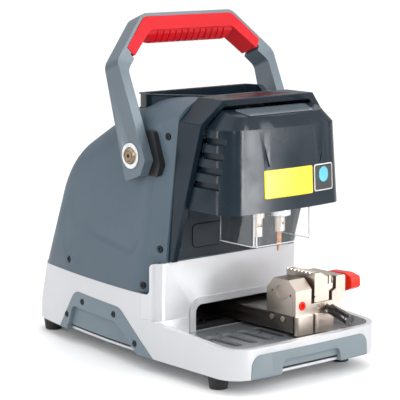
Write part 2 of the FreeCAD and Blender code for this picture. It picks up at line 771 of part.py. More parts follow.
def case_screws():
    """Button-head screws of the side panels and side trims."""
    solids = []
    radius = number("case_screw")
    for y, z in CASE_SCREWS_PANEL:
        x = side_x(y, z)
        head = Part.makeCylinder(radius, 2.2, V(x - 1.6, y, z), X_AXIS)
        socket = Part.makeCylinder(1.4, 3, V(x - 0.8, y, z), X_AXIS)
        solids.append(head.cut(socket))
    for y, z in CASE_SCREWS_TRIM:
        x = side_x(y, z)
        head = Part.makeCylinder(radius, 2, V(x - 0.6, y, z), X_AXIS)
        socket = Part.makeCylinder(1.4, 3, V(x + 0.6, y, z), X_AXIS)
        solids.append(head.cut(socket))
    feature("case_screws", Part.makeCompound(solids + [mirrored(solid) for solid in solids]))


def hood_section(inset):
    """The hood's outline seen from the front."""
    half = number("hood_half") - inset
    top = number("hood_top") - inset
    flat = number("hood_top_half") - inset * 0.42
    low = number("wall_top") + 1.5
    return [(-half, low, 0), (-half, top - (half - flat), 0), (-flat, top, 0), (flat, top, 0),
            (half, top - (half - flat), 0), (half, low, 0)]


def leaning_slab(front_low, front_slope, rear_low, rear_slope, grow=0):
    """The space between two leaning planes, across the whole machine."""
    low = number("wall_top") - 40
    high = 340
    base = number("wall_top") + 1.5
    return prism("X", [(front_low - front_slope * (low - base), low, 0),
                       (front_low - front_slope * (high - base), high, 0),
                       (rear_low + grow - rear_slope * (high - base), high, 0),
                       (rear_low + grow - rear_slope * (low - base), low, 0)], -FAR / 2, FAR / 2)


def hood():
    """The dark hood round the head, its red window and the back wall of the work space."""
    outer = prism("Y", hood_section(0), -200, 0)
    inner = prism("Y", hood_section(number("hood_skin")), -201, 1)
    tunnel = outer.cut(inner)
    slab = leaning_slab(number("hood_front_low"), number("hood_lean"), number("wall_front") - 0.3,
                        number("front_lean"))
    frame = tunnel.common(slab)
    window = [(-46, -124, 6), (46, -124, 6), (34, -98, 8), (-34, -98, 8)]
    frame = frame.cut(prism("Z", window, number("hood_top") - 2, 400))
    feature("hood_frame", frame.removeSplitter())
    feature("hood_window", prism("Z", [(-45.7, -123.7, 5.7), (45.7, -123.7, 5.7), (33.8, -98.3, 7.7),
                                       (-33.8, -98.3, 7.7)], number("hood_top") - 2,
                                 number("hood_top") - 0.4))
    wall = number("wall_front")
    skin = number("hood_skin")
    back = prism("Y", hood_section(skin + 0.2), wall, wall + 2.5)
    back = back.cut(big_box((-FAR, -FAR, number("cover_low") - 0.4), (FAR, FAR, FAR)))
    back = back.cut(prism("Y", [(-68, 189.8, 0), (68, 189.8, 0), (68, 299, 0), (-68, 299, 0)], wall - 5,
                          wall + 10))
    hatch = [(-56, 137.5, 6), (-12, 137.5, 6), (-12, 164, 6), (-56, 164, 6)]
    back = back.cut(prism("Y", [(u + (0.4 if u > -30 else -0.4), v + (0.4 if v > 150 else -0.4), r)
                                for u, v, r in hatch], wall - 5, wall + 1.2))
    feature("recess_panel", back)
    node("recess_hatch", padded("recess_hatch", "Y", hatch, f"wall_front - 0.8", 2))


def head_outline(half, front, rear, corner):
    """A level section of the head cover: bowed front and rounded corners."""
    bow = 4
    start = V(half, rear, 0)
    shoulder = V(half, front + bow + corner, 0)
    nose = V(half - corner, front + bow, 0)
    middle = V(nose.x + corner * math.sin(math.pi / 4), shoulder.y - corner * math.cos(math.pi / 4), 0)
    right = [Part.LineSegment(start, shoulder).toShape(), Part.Arc(shoulder, middle, nose).toShape()]
    left = [edge.mirror(V(0, 0, 0), X_AXIS) for edge in right]
    sweep = Part.Arc(nose, V(0, front, 0), V(-nose.x, nose.y, 0)).toShape()
    back = Part.LineSegment(V(-half, rear, 0), start).toShape()
    return Part.Wire(Part.__sortEdges__(right + [sweep] + left + [back]))


def head_form(inset):
    """The head cover's outer or inner form."""
    half = number("head_half") - inset
    front = number("head_front") + inset
    rear = -60
    low = head_outline(number("head_low_half") - inset, front, rear, 22 - inset)
    low.translate(V(0, 0, number("head_bottom") - (1 if inset else 0)))
    band = head_outline(half, front + 4.5, rear, 22 - inset)
    band.translate(V(0, 0, number("head_band") - inset * 0.4))
    top = head_outline(half - 16, front + 12, rear, 14)
    top.translate(V(0, -(front + 12), 0))
    top.rotate(V(0, 0, 0), X_AXIS, math.degrees(math.atan(number("head_rise"))))
    top.translate(V(0, front + 12, number("head_band_top") - inset))
    lower = Part.makeLoft([low, band], True, True)
    upper = Part.makeLoft([band, top], True, True)
    return lower.fuse(upper).removeSplitter()


VENT_HEIGHTS = (266.5, 250.3, 234.0, 217.7)
CREASE_LEFT = [(-37.5, 270), (-33.2, 254), (-28.4, 237), (-31.6, 237.5), (-36.2, 254)]
CREASE_RIGHT = [(54.7, 264), (50.2, 250), (45.6, 237.5), (48.8, 237), (52.4, 250)]


def head():
    """Head cover with vents, its floor, the smoked window and the clear guard."""
    skin = number("skin")
    cover = head_form(0).cut(head_form(skin))
    rear_low = number("hood_front_low") - 2.5
    slab = leaning_slab(-400, 0, rear_low + 1.2, number("hood_lean"))
    half = number("head_half")
    flare = (number("head_low_half") - half) / (number("head_band - head_bottom"))
    back = prism("X", [(-151, 209, 0), (-94, 209, 0), (-112, 273, 0), (-157, 273, 0)], half - 6.5, half + 8)
    back = back.common(head_form(0))
    cover = cover.fuse([back, mirrored(back)]).common(slab)
    for sliver, deep in ((CREASE_LEFT, 5.2), (CREASE_RIGHT, 6.2)):
        cover = cover.cut(prism("Y", [(x, z, 0) for x, z in sliver], -400, number("head_front") + deep))
    for z in VENT_HEIGHTS:
        y_front = -149 - (z - 212) * 0.115
        y_rear = rear_low - number("hood_lean") * (z - 184) + 4
        skin_at = half + flare * (number("head_band") - z)
        slot = prism("X", [(y_front, z - 3.6, 1), (y_rear, z - 3.6, 1), (y_rear, z + 3.6, 1),
                           (y_front, z + 3.6, 1)], skin_at - 4.4, skin_at + 6)
        cover = cover.cut(slot).cut(mirrored(slot))
    feature("head_cover", cover.removeSplitter())
    floor = prism("Z", [(-82.6, -98, 0), (-82.6, -163.5, 17), (82.6, -163.5, 17), (82.6, -98, 0)],
                  number("head_bottom") + 0.2, number("head_bottom") + 2.2)
    well = prism("Z", [(-40, -97, 0), (-40, -157, 4), (42, -157, 4), (42, -97, 0)], 180, 200)
    feature("head_base", floor.cut(well))
    slope = number("head_rise")
    pane = prism("Z", [(-47, 4, 3), (47, 4, 3), (53, 25, 3), (-53, 25, 3)], 0.05, 1.2)
    pane.rotate(V(0, 0, 0), X_AXIS, math.degrees(math.atan(slope)))
    pane.translate(V(0, number("head_front") + 12, number("head_band_top")))
    feature("head_window", pane)
    half = number("visor_half")
    front = number("visor_front")
    inner = half - number("visor_skin")
    guard = padded("visor", "Z", [(-half, front, 8), (half, front, 8), (half, -104, 0), (inner, -104, 0),
                                  (inner, front + 2.5, 5.5), (-inner, front + 2.5, 5.5),
                                  (-inner, -104, 0), (-half, -104, 0)],
                   "visor_bottom", "head_bottom - visor_bottom")
    node("visor", guard)


# ---------------------------------------------------------------- handle
def arm_side():
    """The side of the handle: its arms narrow towards the bar, with a cut corner at the tail."""
    front = number("arm_front")
    rear = number("arm_rear")
    high_front = number("arm_front_high")
    high_rear = number("arm_rear_high")
    low = number("bend_low")
    tail = number("arm_tail")
    slope_front = (front - high_front) / low
    slope_rear = (rear - high_rear) / low
    return prism("X", [(-front - 12 * slope_front, -12, 3), (-front + 13, -tail, 3),
                       (rear + tail * slope_rear, -tail, 4), (high_rear, low, 0), (high_rear, 200, 0),
                       (-high_front + 1, 200, 0), (-high_front, low, 0)], -FAR / 2, FAR / 2)


def grip_form():
    """The grip, drawn in the plane of the handle: a plate along the bar with a ribbed underside."""
    reach = number("handle_reach")
    thin = number("bar_thick")
    face = number("grip_face")
    low = number("grip_low")
    bar = number("bar_half")
    front = number("arm_front_high")
    rear = number("arm_rear_high")
    half = [(99, 119.5, 2), (bar - 1.5, reach - thin, 13)]
    inner = [(bar - 6, face, 9), (75.5, 124.5, 6), (91.5, 109, 2)]
    outline = half + [(-x, s, r) for x, s, r in reversed(half)]
    outline += [(-x, s, r) for x, s, r in reversed(inner)] + inner
    plate = prism("Y", outline, -front - 0.5, rear + 0.6)
    swell = prism("X", [(-front + 0.3, face + 1, 0), (-front + 3, face - 4, 3), (-front + 11, low, 6),
                        (rear - 8, low, 6), (rear - 1, face - 4, 3), (rear, face + 1, 0)], -90, 90)
    swell = swell.common(prism("Y", [(-bar - 4, face + 4, 0), (-bar + 11, low - 0.2, 8), (bar - 11, low - 0.2, 8),
                                     (bar + 4, face + 4, 0)], -40, 40))
    core = prism("X", [(-front + 1.9, face + 1, 0), (-front + 4.4, face - 3.6, 3), (-front + 11.8, low + 1.2, 5),
                       (rear - 8.8, low + 1.2, 5), (rear - 2.4, face - 3.6, 3), (rear - 1.6, face + 1, 0)], -90, 90)
    grooves = []
    for rib in range(12):
        x = (rib - 5.5) * 9
        grooves.append(big_box((x - 1, -40, low - 2), (x + 1, 40, face - 1)).cut(core))
    return plate.fuse(swell.cut(grooves)).removeSplitter()


def handle():
    """Folding carrying handle, drawn flat in the plane of its arms and then leaned back."""
    outer = number("arm_outer")
    inner = number("arm_outer - arm_thick")
    low = number("bend_low")
    reach = number("handle_reach")
    bar = number("bar_half")
    tail = -number("arm_tail") - 5
    outside = [(-outer, tail, 0), (-outer, low, 15), (-bar, reach, 15), (bar, reach, 15), (outer, low, 15),
               (outer, tail, 0)]
    inside = [(inner, tail, 0), (inner, low - 12, 12), (92.5, 106.5, 0), (96, 111.5, 0), (66, 146, 0)]
    inside += [(-x, s, r) for x, s, r in reversed(inside)]
    frame = prism("Y", outside + inside, -40, 40).common(arm_side())
    bore = Part.makeCylinder(number("pivot_radius + running"), 2 * FAR, V(-FAR, 0, 0), X_AXIS)
    frame = frame.cut(bore)
    grip = grip_form()
    frame = frame.cut(grip)
    for start in (-outer - 4.3, outer - 0.7):
        frame = frame.cut(Part.makeCylinder(number("washer_radius") + 0.35, 5, V(start, 0, 0), X_AXIS))
    lean = FreeCAD.Placement(V(0, number("pivot_y"), number("pivot_z")),
                             FreeCAD.Rotation(X_AXIS, -number("handle_lean")))
    frame = largest(frame)
    frame.Placement = lean
    grip.Placement = lean
    feature("handle_frame", frame)
    feature("handle_grip", grip)


def pivots():
    """Shoulder bolts and washers that the handle turns on, and the pads behind its arms."""
    y = number("pivot_y")
    z = number("pivot_z")
    face = number("arm_outer") - 0.7
    radius = number("pivot_radius")
    head = number("bolt_head")
    bolt = Part.makeCylinder(radius, face + 1.6 - 84, V(84, y, z), X_AXIS)
    dome = Part.makeCone(head, head - 1.6, 2.6, V(face + 1.5, y, z), X_AXIS)
    ring = Part.makeCylinder(6.6, 1.2, V(face + 3.3, y, z), X_AXIS)
    socket = prism("X", [(y + 2.4 * math.cos(math.radians(60 * turn)),
                          z + 2.4 * math.sin(math.radians(60 * turn)), 0) for turn in range(6)],
                   face + 1.4, face + 20)
    bolt = bolt.fuse(dome).cut(ring.cut(Part.makeCylinder(5.4, 2, V(face + 3, y, z), X_AXIS)))
    bolt = bolt.cut(socket).removeSplitter()
    washer = Part.makeCylinder(number("washer_radius"), 1.4, V(face + 0.05, y, z), X_AXIS)
    washer = washer.cut(Part.makeCylinder(radius + 0.05, 10, V(face - 1, y, z), X_AXIS))
    feature("pivot_bolts", Part.makeCompound([bolt, mirrored(bolt)]))
    feature("pivot_washers", Part.makeCompound([washer, mirrored(washer)]))
    pad = prism("X", [(-61, 272, 3), (-72, 235, 4), (-67, 222, 4), (-24, 222, 6), (-14, 272, 6)], 88,
                number("pad_outer"))
    pad = pad.cut(OUTSIDE).cut(Part.makeCylinder(radius, 60, V(80, y, z), X_AXIS))
    pad = largest(pad)
    feature("pivot_pads", Part.makeCompound([pad, mirrored(pad)]))


# ---------------------------------------------------------------- inside: column and Z axis
def column_frame():
    """The aluminium frame that carries the spindle's slide, the handle and the electronics."""
    plate = block("column_plate", ("-80", "80"), ("-62", "-50"), ("96", "288"))
    legs = [block(f"column_leg{side}", (f"{side} * 90 - 6", f"{side} * 90 + 6"), ("-62", "-34"),
                  ("base_bottom + 2.5", "112")) for side in (-1, 1)]
    bridge = block("column_bridge", ("-96", "96"), ("-62", "-50"), ("96", "112"))
    shelves = [block(f"column_shelf{name}", ("-62", "62"), ("slide_y - 10", "-62"),
                     (low, f"{low} + shelf_thick")) for name, low in (("a", "shelf_low"), ("b", "shelf_high"))]
    brackets = [block(f"column_bracket{side}", (f"{side} * 79 - 17", f"{side} * 79 + 17"), ("-50", "-26"),
                      ("pivot_z - 14", "pivot_z + 14")) for side in (-1, 1)]
    solid = fuse("column_solid", plate, bridge, *legs, *shelves, *brackets)
    bores = [rod(f"column_bore{side}", "Z", (f"{side} * slide_half", "slide_y", "shelf_low - 1"), 90,
                 "screw_radius") for side in (-1, 1)]
    bores.append(rod("column_screw_bore", "Z", ("0", "slide_y", "shelf_low - 1"), 90,
                     "screw_radius + running"))
    bores += [rod(f"column_pivot{side}", "X", (f"{side} * 91 - 7", "pivot_y", "pivot_z"), 14,
                  "pivot_radius") for side in (-1, 1)]
    node("column_frame", cut("column_frame", solid, *bores))


def z_axis():
    """Vertical rails, lead screw and motor."""
    span = "shelf_high + shelf_thick - shelf_low"
    rails = [rod(f"z_rail{side}", "Z", (f"{side} * slide_half", "slide_y", "shelf_low"), span,
                 "screw_radius") for side in (-1, 1)]
    node("z_rails", group("z_rails", *rails))
    node("z_lead_screw", rod("z_lead_screw", "Z", ("0", "slide_y", "shelf_low"), span, "screw_radius"))
    motor = block("z_motor_body", ("-motor_size / 2", "motor_size / 2"),
                  ("slide_y - motor_size / 2", "slide_y + motor_size / 2"),
                  ("shelf_high + shelf_thick", "shelf_high + shelf_thick + motor_long"))
    node("z_motor", chamfer("z_motor", motor, 2, along(Z_AXIS)))


def spindle():
    """Everything that the vertical slide carries."""
    bar = block("carriage_bar", ("-58", "58"), ("slide_y - 11", "slide_y + 9"),
                ("carriage_low", "carriage_high"))
    bores = [rod(f"carriage_bore{place_x}", "Z", (f"{place_x} * slide_half", "slide_y", "carriage_low - 1"),
                 30, "screw_radius + running") for place_x in (-1, 0, 1)]
    node("z_carriage", cut("z_carriage", bar, *bores))
    body = block("spindle_block_body", ("-34", "36"), ("-152", "slide_y - 11"), ("196", "234"))
    shaft_bore = rod("shaft_bore", "Z", ("tool_half", "tool_y", "quill_low - 1"), 70,
                     "screw_radius + running")
    probe_bore = rod("probe_bore", "Z", ("-tool_half", "tool_y", "190"), 60, 7)
    quill = rod("quill", "Z", ("tool_half", "tool_y", "quill_low"), "200 - quill_low", "quill_radius")
    block_edges = chamfer("spindle_block_edges", body, 3, along(Z_AXIS))
    node("spindle_housing", cut("spindle_housing", fuse("housing_solid", block_edges, quill),
                                shaft_bore, probe_bore))
    motor = rod("spindle_motor_can", "Z", ("tool_half", "tool_y", "234.2"), 34, 16)
    node("spindle_motor", fillet("spindle_motor", motor, 2, lambda edge: isinstance(edge.Curve, Part.Circle)
                                 and edge.BoundBox.ZMin > 260))
    shaft = rod("shaft_rod", "Z", ("tool_half", "tool_y", "collet_low + 4"), "234 - collet_low - 4",
                "screw_radius")
    nut = rod("collet_nut", "Z", ("tool_half", "tool_y", "collet_low"), "quill_low - 2 - collet_low",
              "collet_radius")
    taper = rod("collet_taper", "Z", ("tool_half", "tool_y", "quill_low - 2"), 1.6, "collet_radius",
                "collet_radius - 1.5")
    socket = rod("collet_socket", "Z", ("tool_half", "tool_y", "collet_low - 1"), 12, "cutter_radius")
    set_screw = rod("collet_set_screw", "Y", ("tool_half", "tool_y - collet_radius - 1", "collet_low + 9"),
                    3.4, 1.7)
    node("spindle_shaft", cut("spindle_shaft", fuse("shaft_solid", shaft, nut, taper), socket, set_screw))
    shank = rod("cutter_shank", "Z", ("tool_half", "tool_y", "cutter_tip + 9"),
                "collet_low + 10 - cutter_tip - 9", "cutter_radius")
    neck = rod("cutter_neck", "Z", ("tool_half", "tool_y", "cutter_tip + 5"), 4, 1.3, "cutter_radius")
    tip = rod("cutter_tip_rod", "Z", ("tool_half", "tool_y", "cutter_tip"), 5, 1.3)
    node("cutter", fuse("cutter", shank, neck, tip))
    holder = rod("probe_body", "Z", ("-tool_half", "tool_y", "quill_low"), "226 - quill_low", 7)
    sleeve = rod("probe_sleeve", "Z", ("-tool_half", "tool_y", "probe_low"), "quill_low - probe_low", 4.8)
    well = rod("probe_well", "Z", ("-tool_half", "tool_y", "probe_low - 1"), 32, 2.06)
    side_hole = rod("probe_set_screw", "Y", ("-tool_half", "tool_y - 6", "probe_low + 12"), 3.2, 1.6)
    node("probe_holder", cut("probe_holder", fuse("probe_solid", holder, sleeve), well, side_hole))
    pin = rod("probe_pin", "Z", ("-tool_half", "tool_y", "probe_tip_low + 4"), "38 - 4", 2)
    point = rod("probe_point", "Z", ("-tool_half", "tool_y", "probe_tip_low"), 4, 0.8, 2)
    node("probe_tip", fuse("probe_tip", pin, point))


# ---------------------------------------------------------------- inside: feed stage
def feed_stage():
    """Beams, lower rails, saddle and cross rails under the table."""
    beams = []
    for name, y in (("front", "beam_front"), ("rear", "beam_rear")):
        beam = block(f"beam_{name}", ("-rail_half - 12", "rail_half + 12"), (y, f"{y} + beam_thick"),
                     ("base_bottom + 2.5", "beam_top"))
        holes = [rod(f"beam_{name}_hole{side}", "Y", (f"{side} * rail_half", f"{y} - 1", "rail_height"), 12,
                     "rail_radius") for side in (-1, 1)]
        holes.append(rod(f"beam_{name}_screw_hole", "Y", ("0", f"{y} - 1", "rail_height"), 12,
                         "screw_radius + running"))
        beams.append(cut(f"beam_{name}_drilled", beam, *holes))
    node("stage_frame", group("stage_frame", *beams))
    rails = [rod(f"y_rail{side}", "Y", (f"{side} * rail_half", "beam_front", "rail_height"),
                 "beam_rear + beam_thick - beam_front", "rail_radius") for side in (-1, 1)]
    node("y_rails", group("y_rails", *rails))
    node("y_lead_screw", rod("y_lead_screw", "Y", ("0", "beam_front", "rail_height"),
                             "beam_rear + beam_thick - beam_front", "screw_radius"))
    motor = block("y_motor_body", ("-motor_size / 2", "motor_size / 2"),
                  ("beam_rear + beam_thick", "beam_rear + beam_thick + motor_long"),
                  ("rail_height - motor_size / 2 + 0.2", "rail_height + motor_size / 2"))
    node("y_motor", chamfer("y_motor", motor, 2, along(Y_AXIS)))
    front = "saddle_middle - saddle_deep / 2"
    rear = "saddle_middle + saddle_deep / 2"
    plate = block("saddle_plate", ("saddle_left", "saddle_right"), (front, rear), ("saddle_low", "saddle_high"))
    ends = [block("saddle_end_left", ("-62", "-56"), (front, rear), ("saddle_high", "cross_height + 8")),
            block("saddle_end_right", ("80", "86"), (front, rear), ("saddle_high", "cross_height + 8"))]
    holes = [rod(f"saddle_hole{side}", "Y", (f"{side} * rail_half", f"{front} - 1", "rail_height"), 90,
                 "rail_radius + running") for side in (-1, 1)]
    holes.append(rod("saddle_nut", "Y", ("0", f"{front} - 1", "rail_height"), 90, "screw_radius + running"))
    holes += [rod(f"saddle_cross{side}", "X", ("-70", f"saddle_middle + {side} * cross_half", "cross_height"),
                  170, "cross_radius") for side in (-1, 1)]
    holes.append(rod("saddle_screw", "X", ("-70", "saddle_middle", "cross_height"), 170,
                     "screw_radius + running"))
    node("y_saddle", cut("y_saddle", fuse("saddle_solid", plate, *ends), *holes))
    cross = [rod(f"x_rail{side}", "X", ("-62", f"saddle_middle + {side} * cross_half", "cross_height"), 148,
                 "cross_radius") for side in (-1, 1)]
    node("x_rails", group("x_rails", *cross))
    node("x_lead_screw", rod("x_lead_screw", "X", ("-62", "saddle_middle", "cross_height"), 148,
                             "screw_radius"))
    drive = block("x_motor_body", ("-62 - motor_long", "-62"),
                  ("saddle_middle - motor_size / 2", "saddle_middle + motor_size / 2"),
                  ("cross_height - motor_size / 2 + 0.2", "cross_height + motor_size / 2"))
    node("x_motor", chamfer("x_motor", drive, 2, along(X_AXIS)))


def table():
    """The table that reaches out through the column's opening."""
    slab = block("table_slab", ("table_left", "table_right"), ("table_front", "table_rear"),
                 ("table_low", "table_high"))
    slab = chamfer("table_edges", slab, 1.2, along(Y_AXIS))
    holes = [rod(f"table_hole{side}", "X", ("0", f"saddle_middle + {side} * cross_half", "cross_height"), 80,
                 "cross_radius + running") for side in (-1, 0, 1)]
    node("x_table", cut("x_table", slab, *holes))


# ---------------------------------------------------------------- key clamp
def lever_placement():
    """Where the locking lever's shaft enters the clamp: it droops towards the front."""
    return FreeCAD.Placement(V(58.5, number("clamp_front") - 6.8, number("table_high") + 3.9),
                             FreeCAD.Rotation(X_AXIS, number("lever_droop")))


def clamp():
    """Key clamp: sole, fixed block, sliding jaw, screw with wing knob, lock and pin."""
    front = number("clamp_front")
    rear = number("clamp_rear")
    low = number("table_high")
    high = number("clamp_high")
    left = number("table_left")
    anvil = number("anvil_right")
    right = number("clamp_right")
    sole = low + number("sole")
    y0 = number("clamp_axis_y")
    z0 = number("clamp_axis_z")
    blocks = [block("clamp_foot_left", ("table_left", "35.5"), ("table_front - 8", "table_front"),
                    ("43.5", "table_high")),
              block("clamp_foot_right", ("38", "table_right"), ("table_front - 8", "table_front"),
                    ("43.5", "table_high"))]
    rounded = [fillet(f"clamp_foot_rounded{index}", part, 3, along(Z_AXIS))
               for index, part in enumerate(blocks)]
    screws = [rod(f"clamp_level_screw{index}", "X", ("table_left - 2", y, "60"), 2, 3.2)
              for index, y in enumerate(("clamp_rear - 10", "clamp_rear - 28"))]
    node("clamp_base", group("clamp_base", *rounded, *screws))

    anvil_side = [(rear, low + 0.05, 0), (rear, low + 27, 0), (rear - 11, high, 0), (front + 12, high, 0),
                  (front, high - 11, 0), (front, low + 0.05, 0)]
    body = prism("X", anvil_side, left, anvil)
    body = body.cut(Part.makeCylinder(8.5, 1.2, V(left - 0.01, rear - 24, low + 25), X_AXIS))
    for y, z in ((rear - 9, low + 25), (rear - 39, low + 23)):
        body = body.cut(Part.makeCylinder(1.3, 6, V(left - 0.01, y, z), X_AXIS))
    body = body.fuse(big_box((left, front, low + 0.05), (right - 5, rear, sole)))
    end_block = prism("Y", [(66.5, sole - 1, 0), (66.5, 86.5, 0), (72.5, 89.5, 0), (72.5, high - 1, 2),
                            (right, high - 1, 3), (right, sole + 2, 2), (right - 5, sole - 1, 0)], front, rear)
    body = body.fuse(end_block)
    body = body.cut(big_box((44, front - 1, low + 5), (52, front + 3, low + 10)))
    body = body.cut(Part.makeCylinder(4.06, 40, V(60, y0, z0), X_AXIS))
    body = body.cut(Part.makeCylinder(5.06, 4, V(left + 10, front - 0.01, low + 11.5), Y_AXIS))
    body = body.cut(placed(Part.makeCylinder(3.06, 15, V(0, -1, 0), Y_AXIS), lever_placement()))
    groove = big_box((anvil - 0.01, front - 1, sole), (anvil + 1.2, rear + 1, sole + 1.5))
    feature("clamp_body", body.cut(groove).removeSplitter())

    jaw = prism("Y", [(40, sole + 0.3, 0), (62.5, sole + 0.3, 0), (62.5, 88, 0), (68.5, 91, 0),
                      (68.5, high + 0.5, 0), (58, high + 0.5, 0), (50, high + 5.5, 0), (40, high + 5.5, 0)],
                front + 1, rear)
    jaw = jaw.cut(big_box((60.4, front, 96), (62.2, front + 6, 120)))
    jaw = jaw.cut(big_box((66, front, 96), (68, front + 6, 120)))
    jaw = jaw.cut(big_box((39, front, sole + 6), (41.2, rear + 1, sole + 8)))
    for step in range(7):
        y = front + 8 + step * 6
        jaw = jaw.cut(prism("X", [(y, high + 6, 0), (y + 1.5, high + 3.8, 0), (y + 3, high + 6, 0)], 39, 51))
    jaw = jaw.cut(Part.makeCylinder(4.06, 20, V(54, y0, z0), X_AXIS))
    feature("clamp_jaw", jaw.removeSplitter())

    thread = Part.makeCylinder(4, 92 - 61, V(61, y0, z0), X_AXIS)
    collar = Part.makeCylinder(8.5, 6, V(right + 4.2, y0, z0), X_AXIS)
    feature("clamp_screw", thread.fuse(collar).removeSplitter())
    knob_x = right + 10.2
    wing = prism("X", [(-24, -6, 4), (-13, -10.5, 5), (13, -10.5, 5), (24, -6, 4), (24, 6, 4),
                       (13, 10.5, 5), (-13, 10.5, 5), (-24, 6, 4)], 0, 15)
    taper = [prism("Y", [(11, 15, 0), (16, 5, 0), (16, 15, 0)], -FAR, FAR),
             prism("Y", [(11, -15, 0), (16, -5, 0), (16, -15, 0)], -FAR, FAR)]
    for tool in taper:
        wing = wing.cut(tool)
    wing.Placement = FreeCAD.Placement(V(knob_x, y0, z0), FreeCAD.Rotation(X_AXIS, -3))
    feature("clamp_knob", wing)

    root = Part.makeCylinder(6.2, 27, V(0, 0, 0), V(0, -1, 0))
    neck = Part.makeCylinder(5.2, 1.5, V(0, -27, 0), V(0, -1, 0))
    end = Part.makeCylinder(6.8, 3, V(0, -28.5, 0), V(0, -1, 0))
    dimple = Part.makeCylinder(4, 1, V(0, -31, 0), V(0, -1, 0))
    shaft = Part.makeCylinder(3, 13, V(0, -1, 0), Y_AXIS)
    lever = root.fuse([neck, end, shaft]).cut(dimple).removeSplitter()
    lever.Placement = lever_placement()
    feature("clamp_lever", lever)
    pin = Part.makeCylinder(5, 4.2, V(left + 10, front - 0.6, low + 11.5), Y_AXIS)
    hexagon = prism("Y", [(left + 10 + 2.6 * math.cos(math.radians(60 * turn)),
                           low + 11.5 + 2.6 * math.sin(math.radians(60 * turn)), 0) for turn in range(6)],
                    front - 2, front + 1.5)
    feature("clamp_pin", pin.cut(hexagon))


# ---------------------------------------------------------------- electrics
def electrics():
    """Power supply, control board, inlet and switch."""
    case = block("supply_case", ("-76", "-6"), ("-49.8", "-14"), ("116", "222"))
    node("power_supply", chamfer("power_supply", case, 1.5, along(Z_AXIS)))
    board = block("board_plate", ("6", "76"), ("-44", "-42.4"), ("116", "222"))
    chips = [block(f"board_chip{index}", (x, f"{x} + 14"), ("-42.4", "-39"), (z, f"{z} + 14"))
             for index, (x, z) in enumerate((("14", "126"), ("40", "150"), ("16", "180"), ("52", "190")))]
    posts = [rod(f"board_post{index}", "Y", (x, "-50", z), 6, 2.5)
             for index, (x, z) in enumerate((("11", "121"), ("71", "121"), ("11", "217"), ("71", "217")))]
    node("control_board", fuse("control_board", board, *chips, *posts))
    frame = rear_placement(FITTING_HEIGHT)
    inlet = big_box((-44, -20, -13), (-16, 0.2, 13))
    inlet = inlet.fuse(prism("Y", [(-47, -15.5, 3), (-13, -15.5, 3), (-13, 15.5, 3), (-47, 15.5, 3)],
                             0.1, 1.7))
    well = prism("Y", [(-42, -10, 5), (-18, -10, 5), (-18, 10, 2), (-42, 10, 2)], -15, 5)
    pins = [big_box((x - 1, -16, z - 2.5), (x + 1, -2, z + 2.5)) for x, z in ((-37, -2), (-30, 4), (-23, -2))]
    feature("power_inlet", placed(inlet.cut(well).fuse(pins).removeSplitter(), frame))
    switch = big_box((-7, -13, -9), (14, 0.2, 9))
    switch = switch.fuse(prism("Y", [(-9, -11, 2), (16, -11, 2), (16, 11, 2), (-9, 11, 2)], 0.1, 1.5))
    switch = switch.cut(big_box((-5.5, -10, -7.5), (12.5, 5, 7.5)))
    switch = switch.cut(Part.makeCylinder(1.25, 19.8, V(-6.4, -1.5, 0), X_AXIS))
    feature("rocker_switch", placed(switch.removeSplitter(), frame))
    side = [(-5.5, -5.5, 0), (-1, -6.9, 0), (2.2, -6.9, 0), (0.2, 0, 0), (3, 6.1, 0), (-1, 6.8, 0),
            (-5.5, 5.5, 0)]
    rocker = prism("X", side, -4.9, 11.9)
    rocker = rocker.fuse(Part.makeCylinder(1.2, 19.4, V(-6.2, -1.5, 0), X_AXIS))
    feature("rocker_button", placed(rocker, frame))


def fan():
    """Cooling fan behind the grille in the rear cover."""
    half = number("fan_size") / 2
    deep = number("fan_deep")
    frame = prism("Z", [(-half, -half, 4), (half, -half, 4), (half, half, 4), (-half, half, 4)], 0, deep)
    frame = frame.cut(Part.makeCylinder(half - 2, deep + 2, V(0, 0, -1)))
    hub_seat = Part.makeCylinder(12, 2, V(0, 0, 0))
    struts = [big_box((-half + 1, -1.5, 0), (half - 1, 1.5, 2)), big_box((-1.5, -half + 1, 0), (1.5, half - 1, 2))]
    frame = frame.fuse([hub_seat] + struts).removeSplitter()
    inward = number("skin") + 0.4 + deep
    feature("fan_frame", placed(frame, fan_placement(inward)))
    hub = Part.makeCylinder(11, deep - 4.5, V(0, 0, 2.6))
    blades = []
    for turn in range(7):
        blade = big_box((9, -1, 3.2), (half - 3.2, 1, deep - 2.4))
        blade.rotate(V(0, 0, 0), X_AXIS, 24)
        blade = blade.common(Part.makeCylinder(half - 3.2, deep - 5, V(0, 0, 3)))
        blade.rotate(V(0, 0, 0), Z_AXIS, 360 / 7 * turn)
        blades.append(blade)
    feature("fan_rotor", placed(hub.fuse(blades).removeSplitter(), fan_placement(inward)))


OUTSIDE = envelope(0)
base_shell()
trims()
base_fittings()
chip_tray()
upper_body()
case_screws()
hood()
head()
handle()
pivots()
column_frame()
z_axis()
spindle()
feed_stage()
table()
clamp()
electrics()
fan()
doc.recompute()


# ---------------------------------------------------------------- checks and export
def check():
    """Stop if any object failed, or any node is empty or broken."""
    faults = [f"{item.Name} {item.State}" for item in doc.Objects
              if "Invalid" in item.State or "Error" in item.State]
    faults += [f"{part.Label} has no valid shape" for part in nodes
               if part.Shape.isNull() or not part.Shape.isValid() or not part.Shape.Solids]
    if faults:
        raise RuntimeError(", ".join(faults))


check()
os.makedirs("parts", exist_ok=True)
for part in nodes:
    part.Shape.exportStep(f"parts/{part.Label}.step")
print(len(nodes), "nodes,", sum(len(part.Shape.Solids) for part in nodes), "solids")
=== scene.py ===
"""Looks of the key duplicating machine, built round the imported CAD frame.  Metres, front towards -Y."""

import math

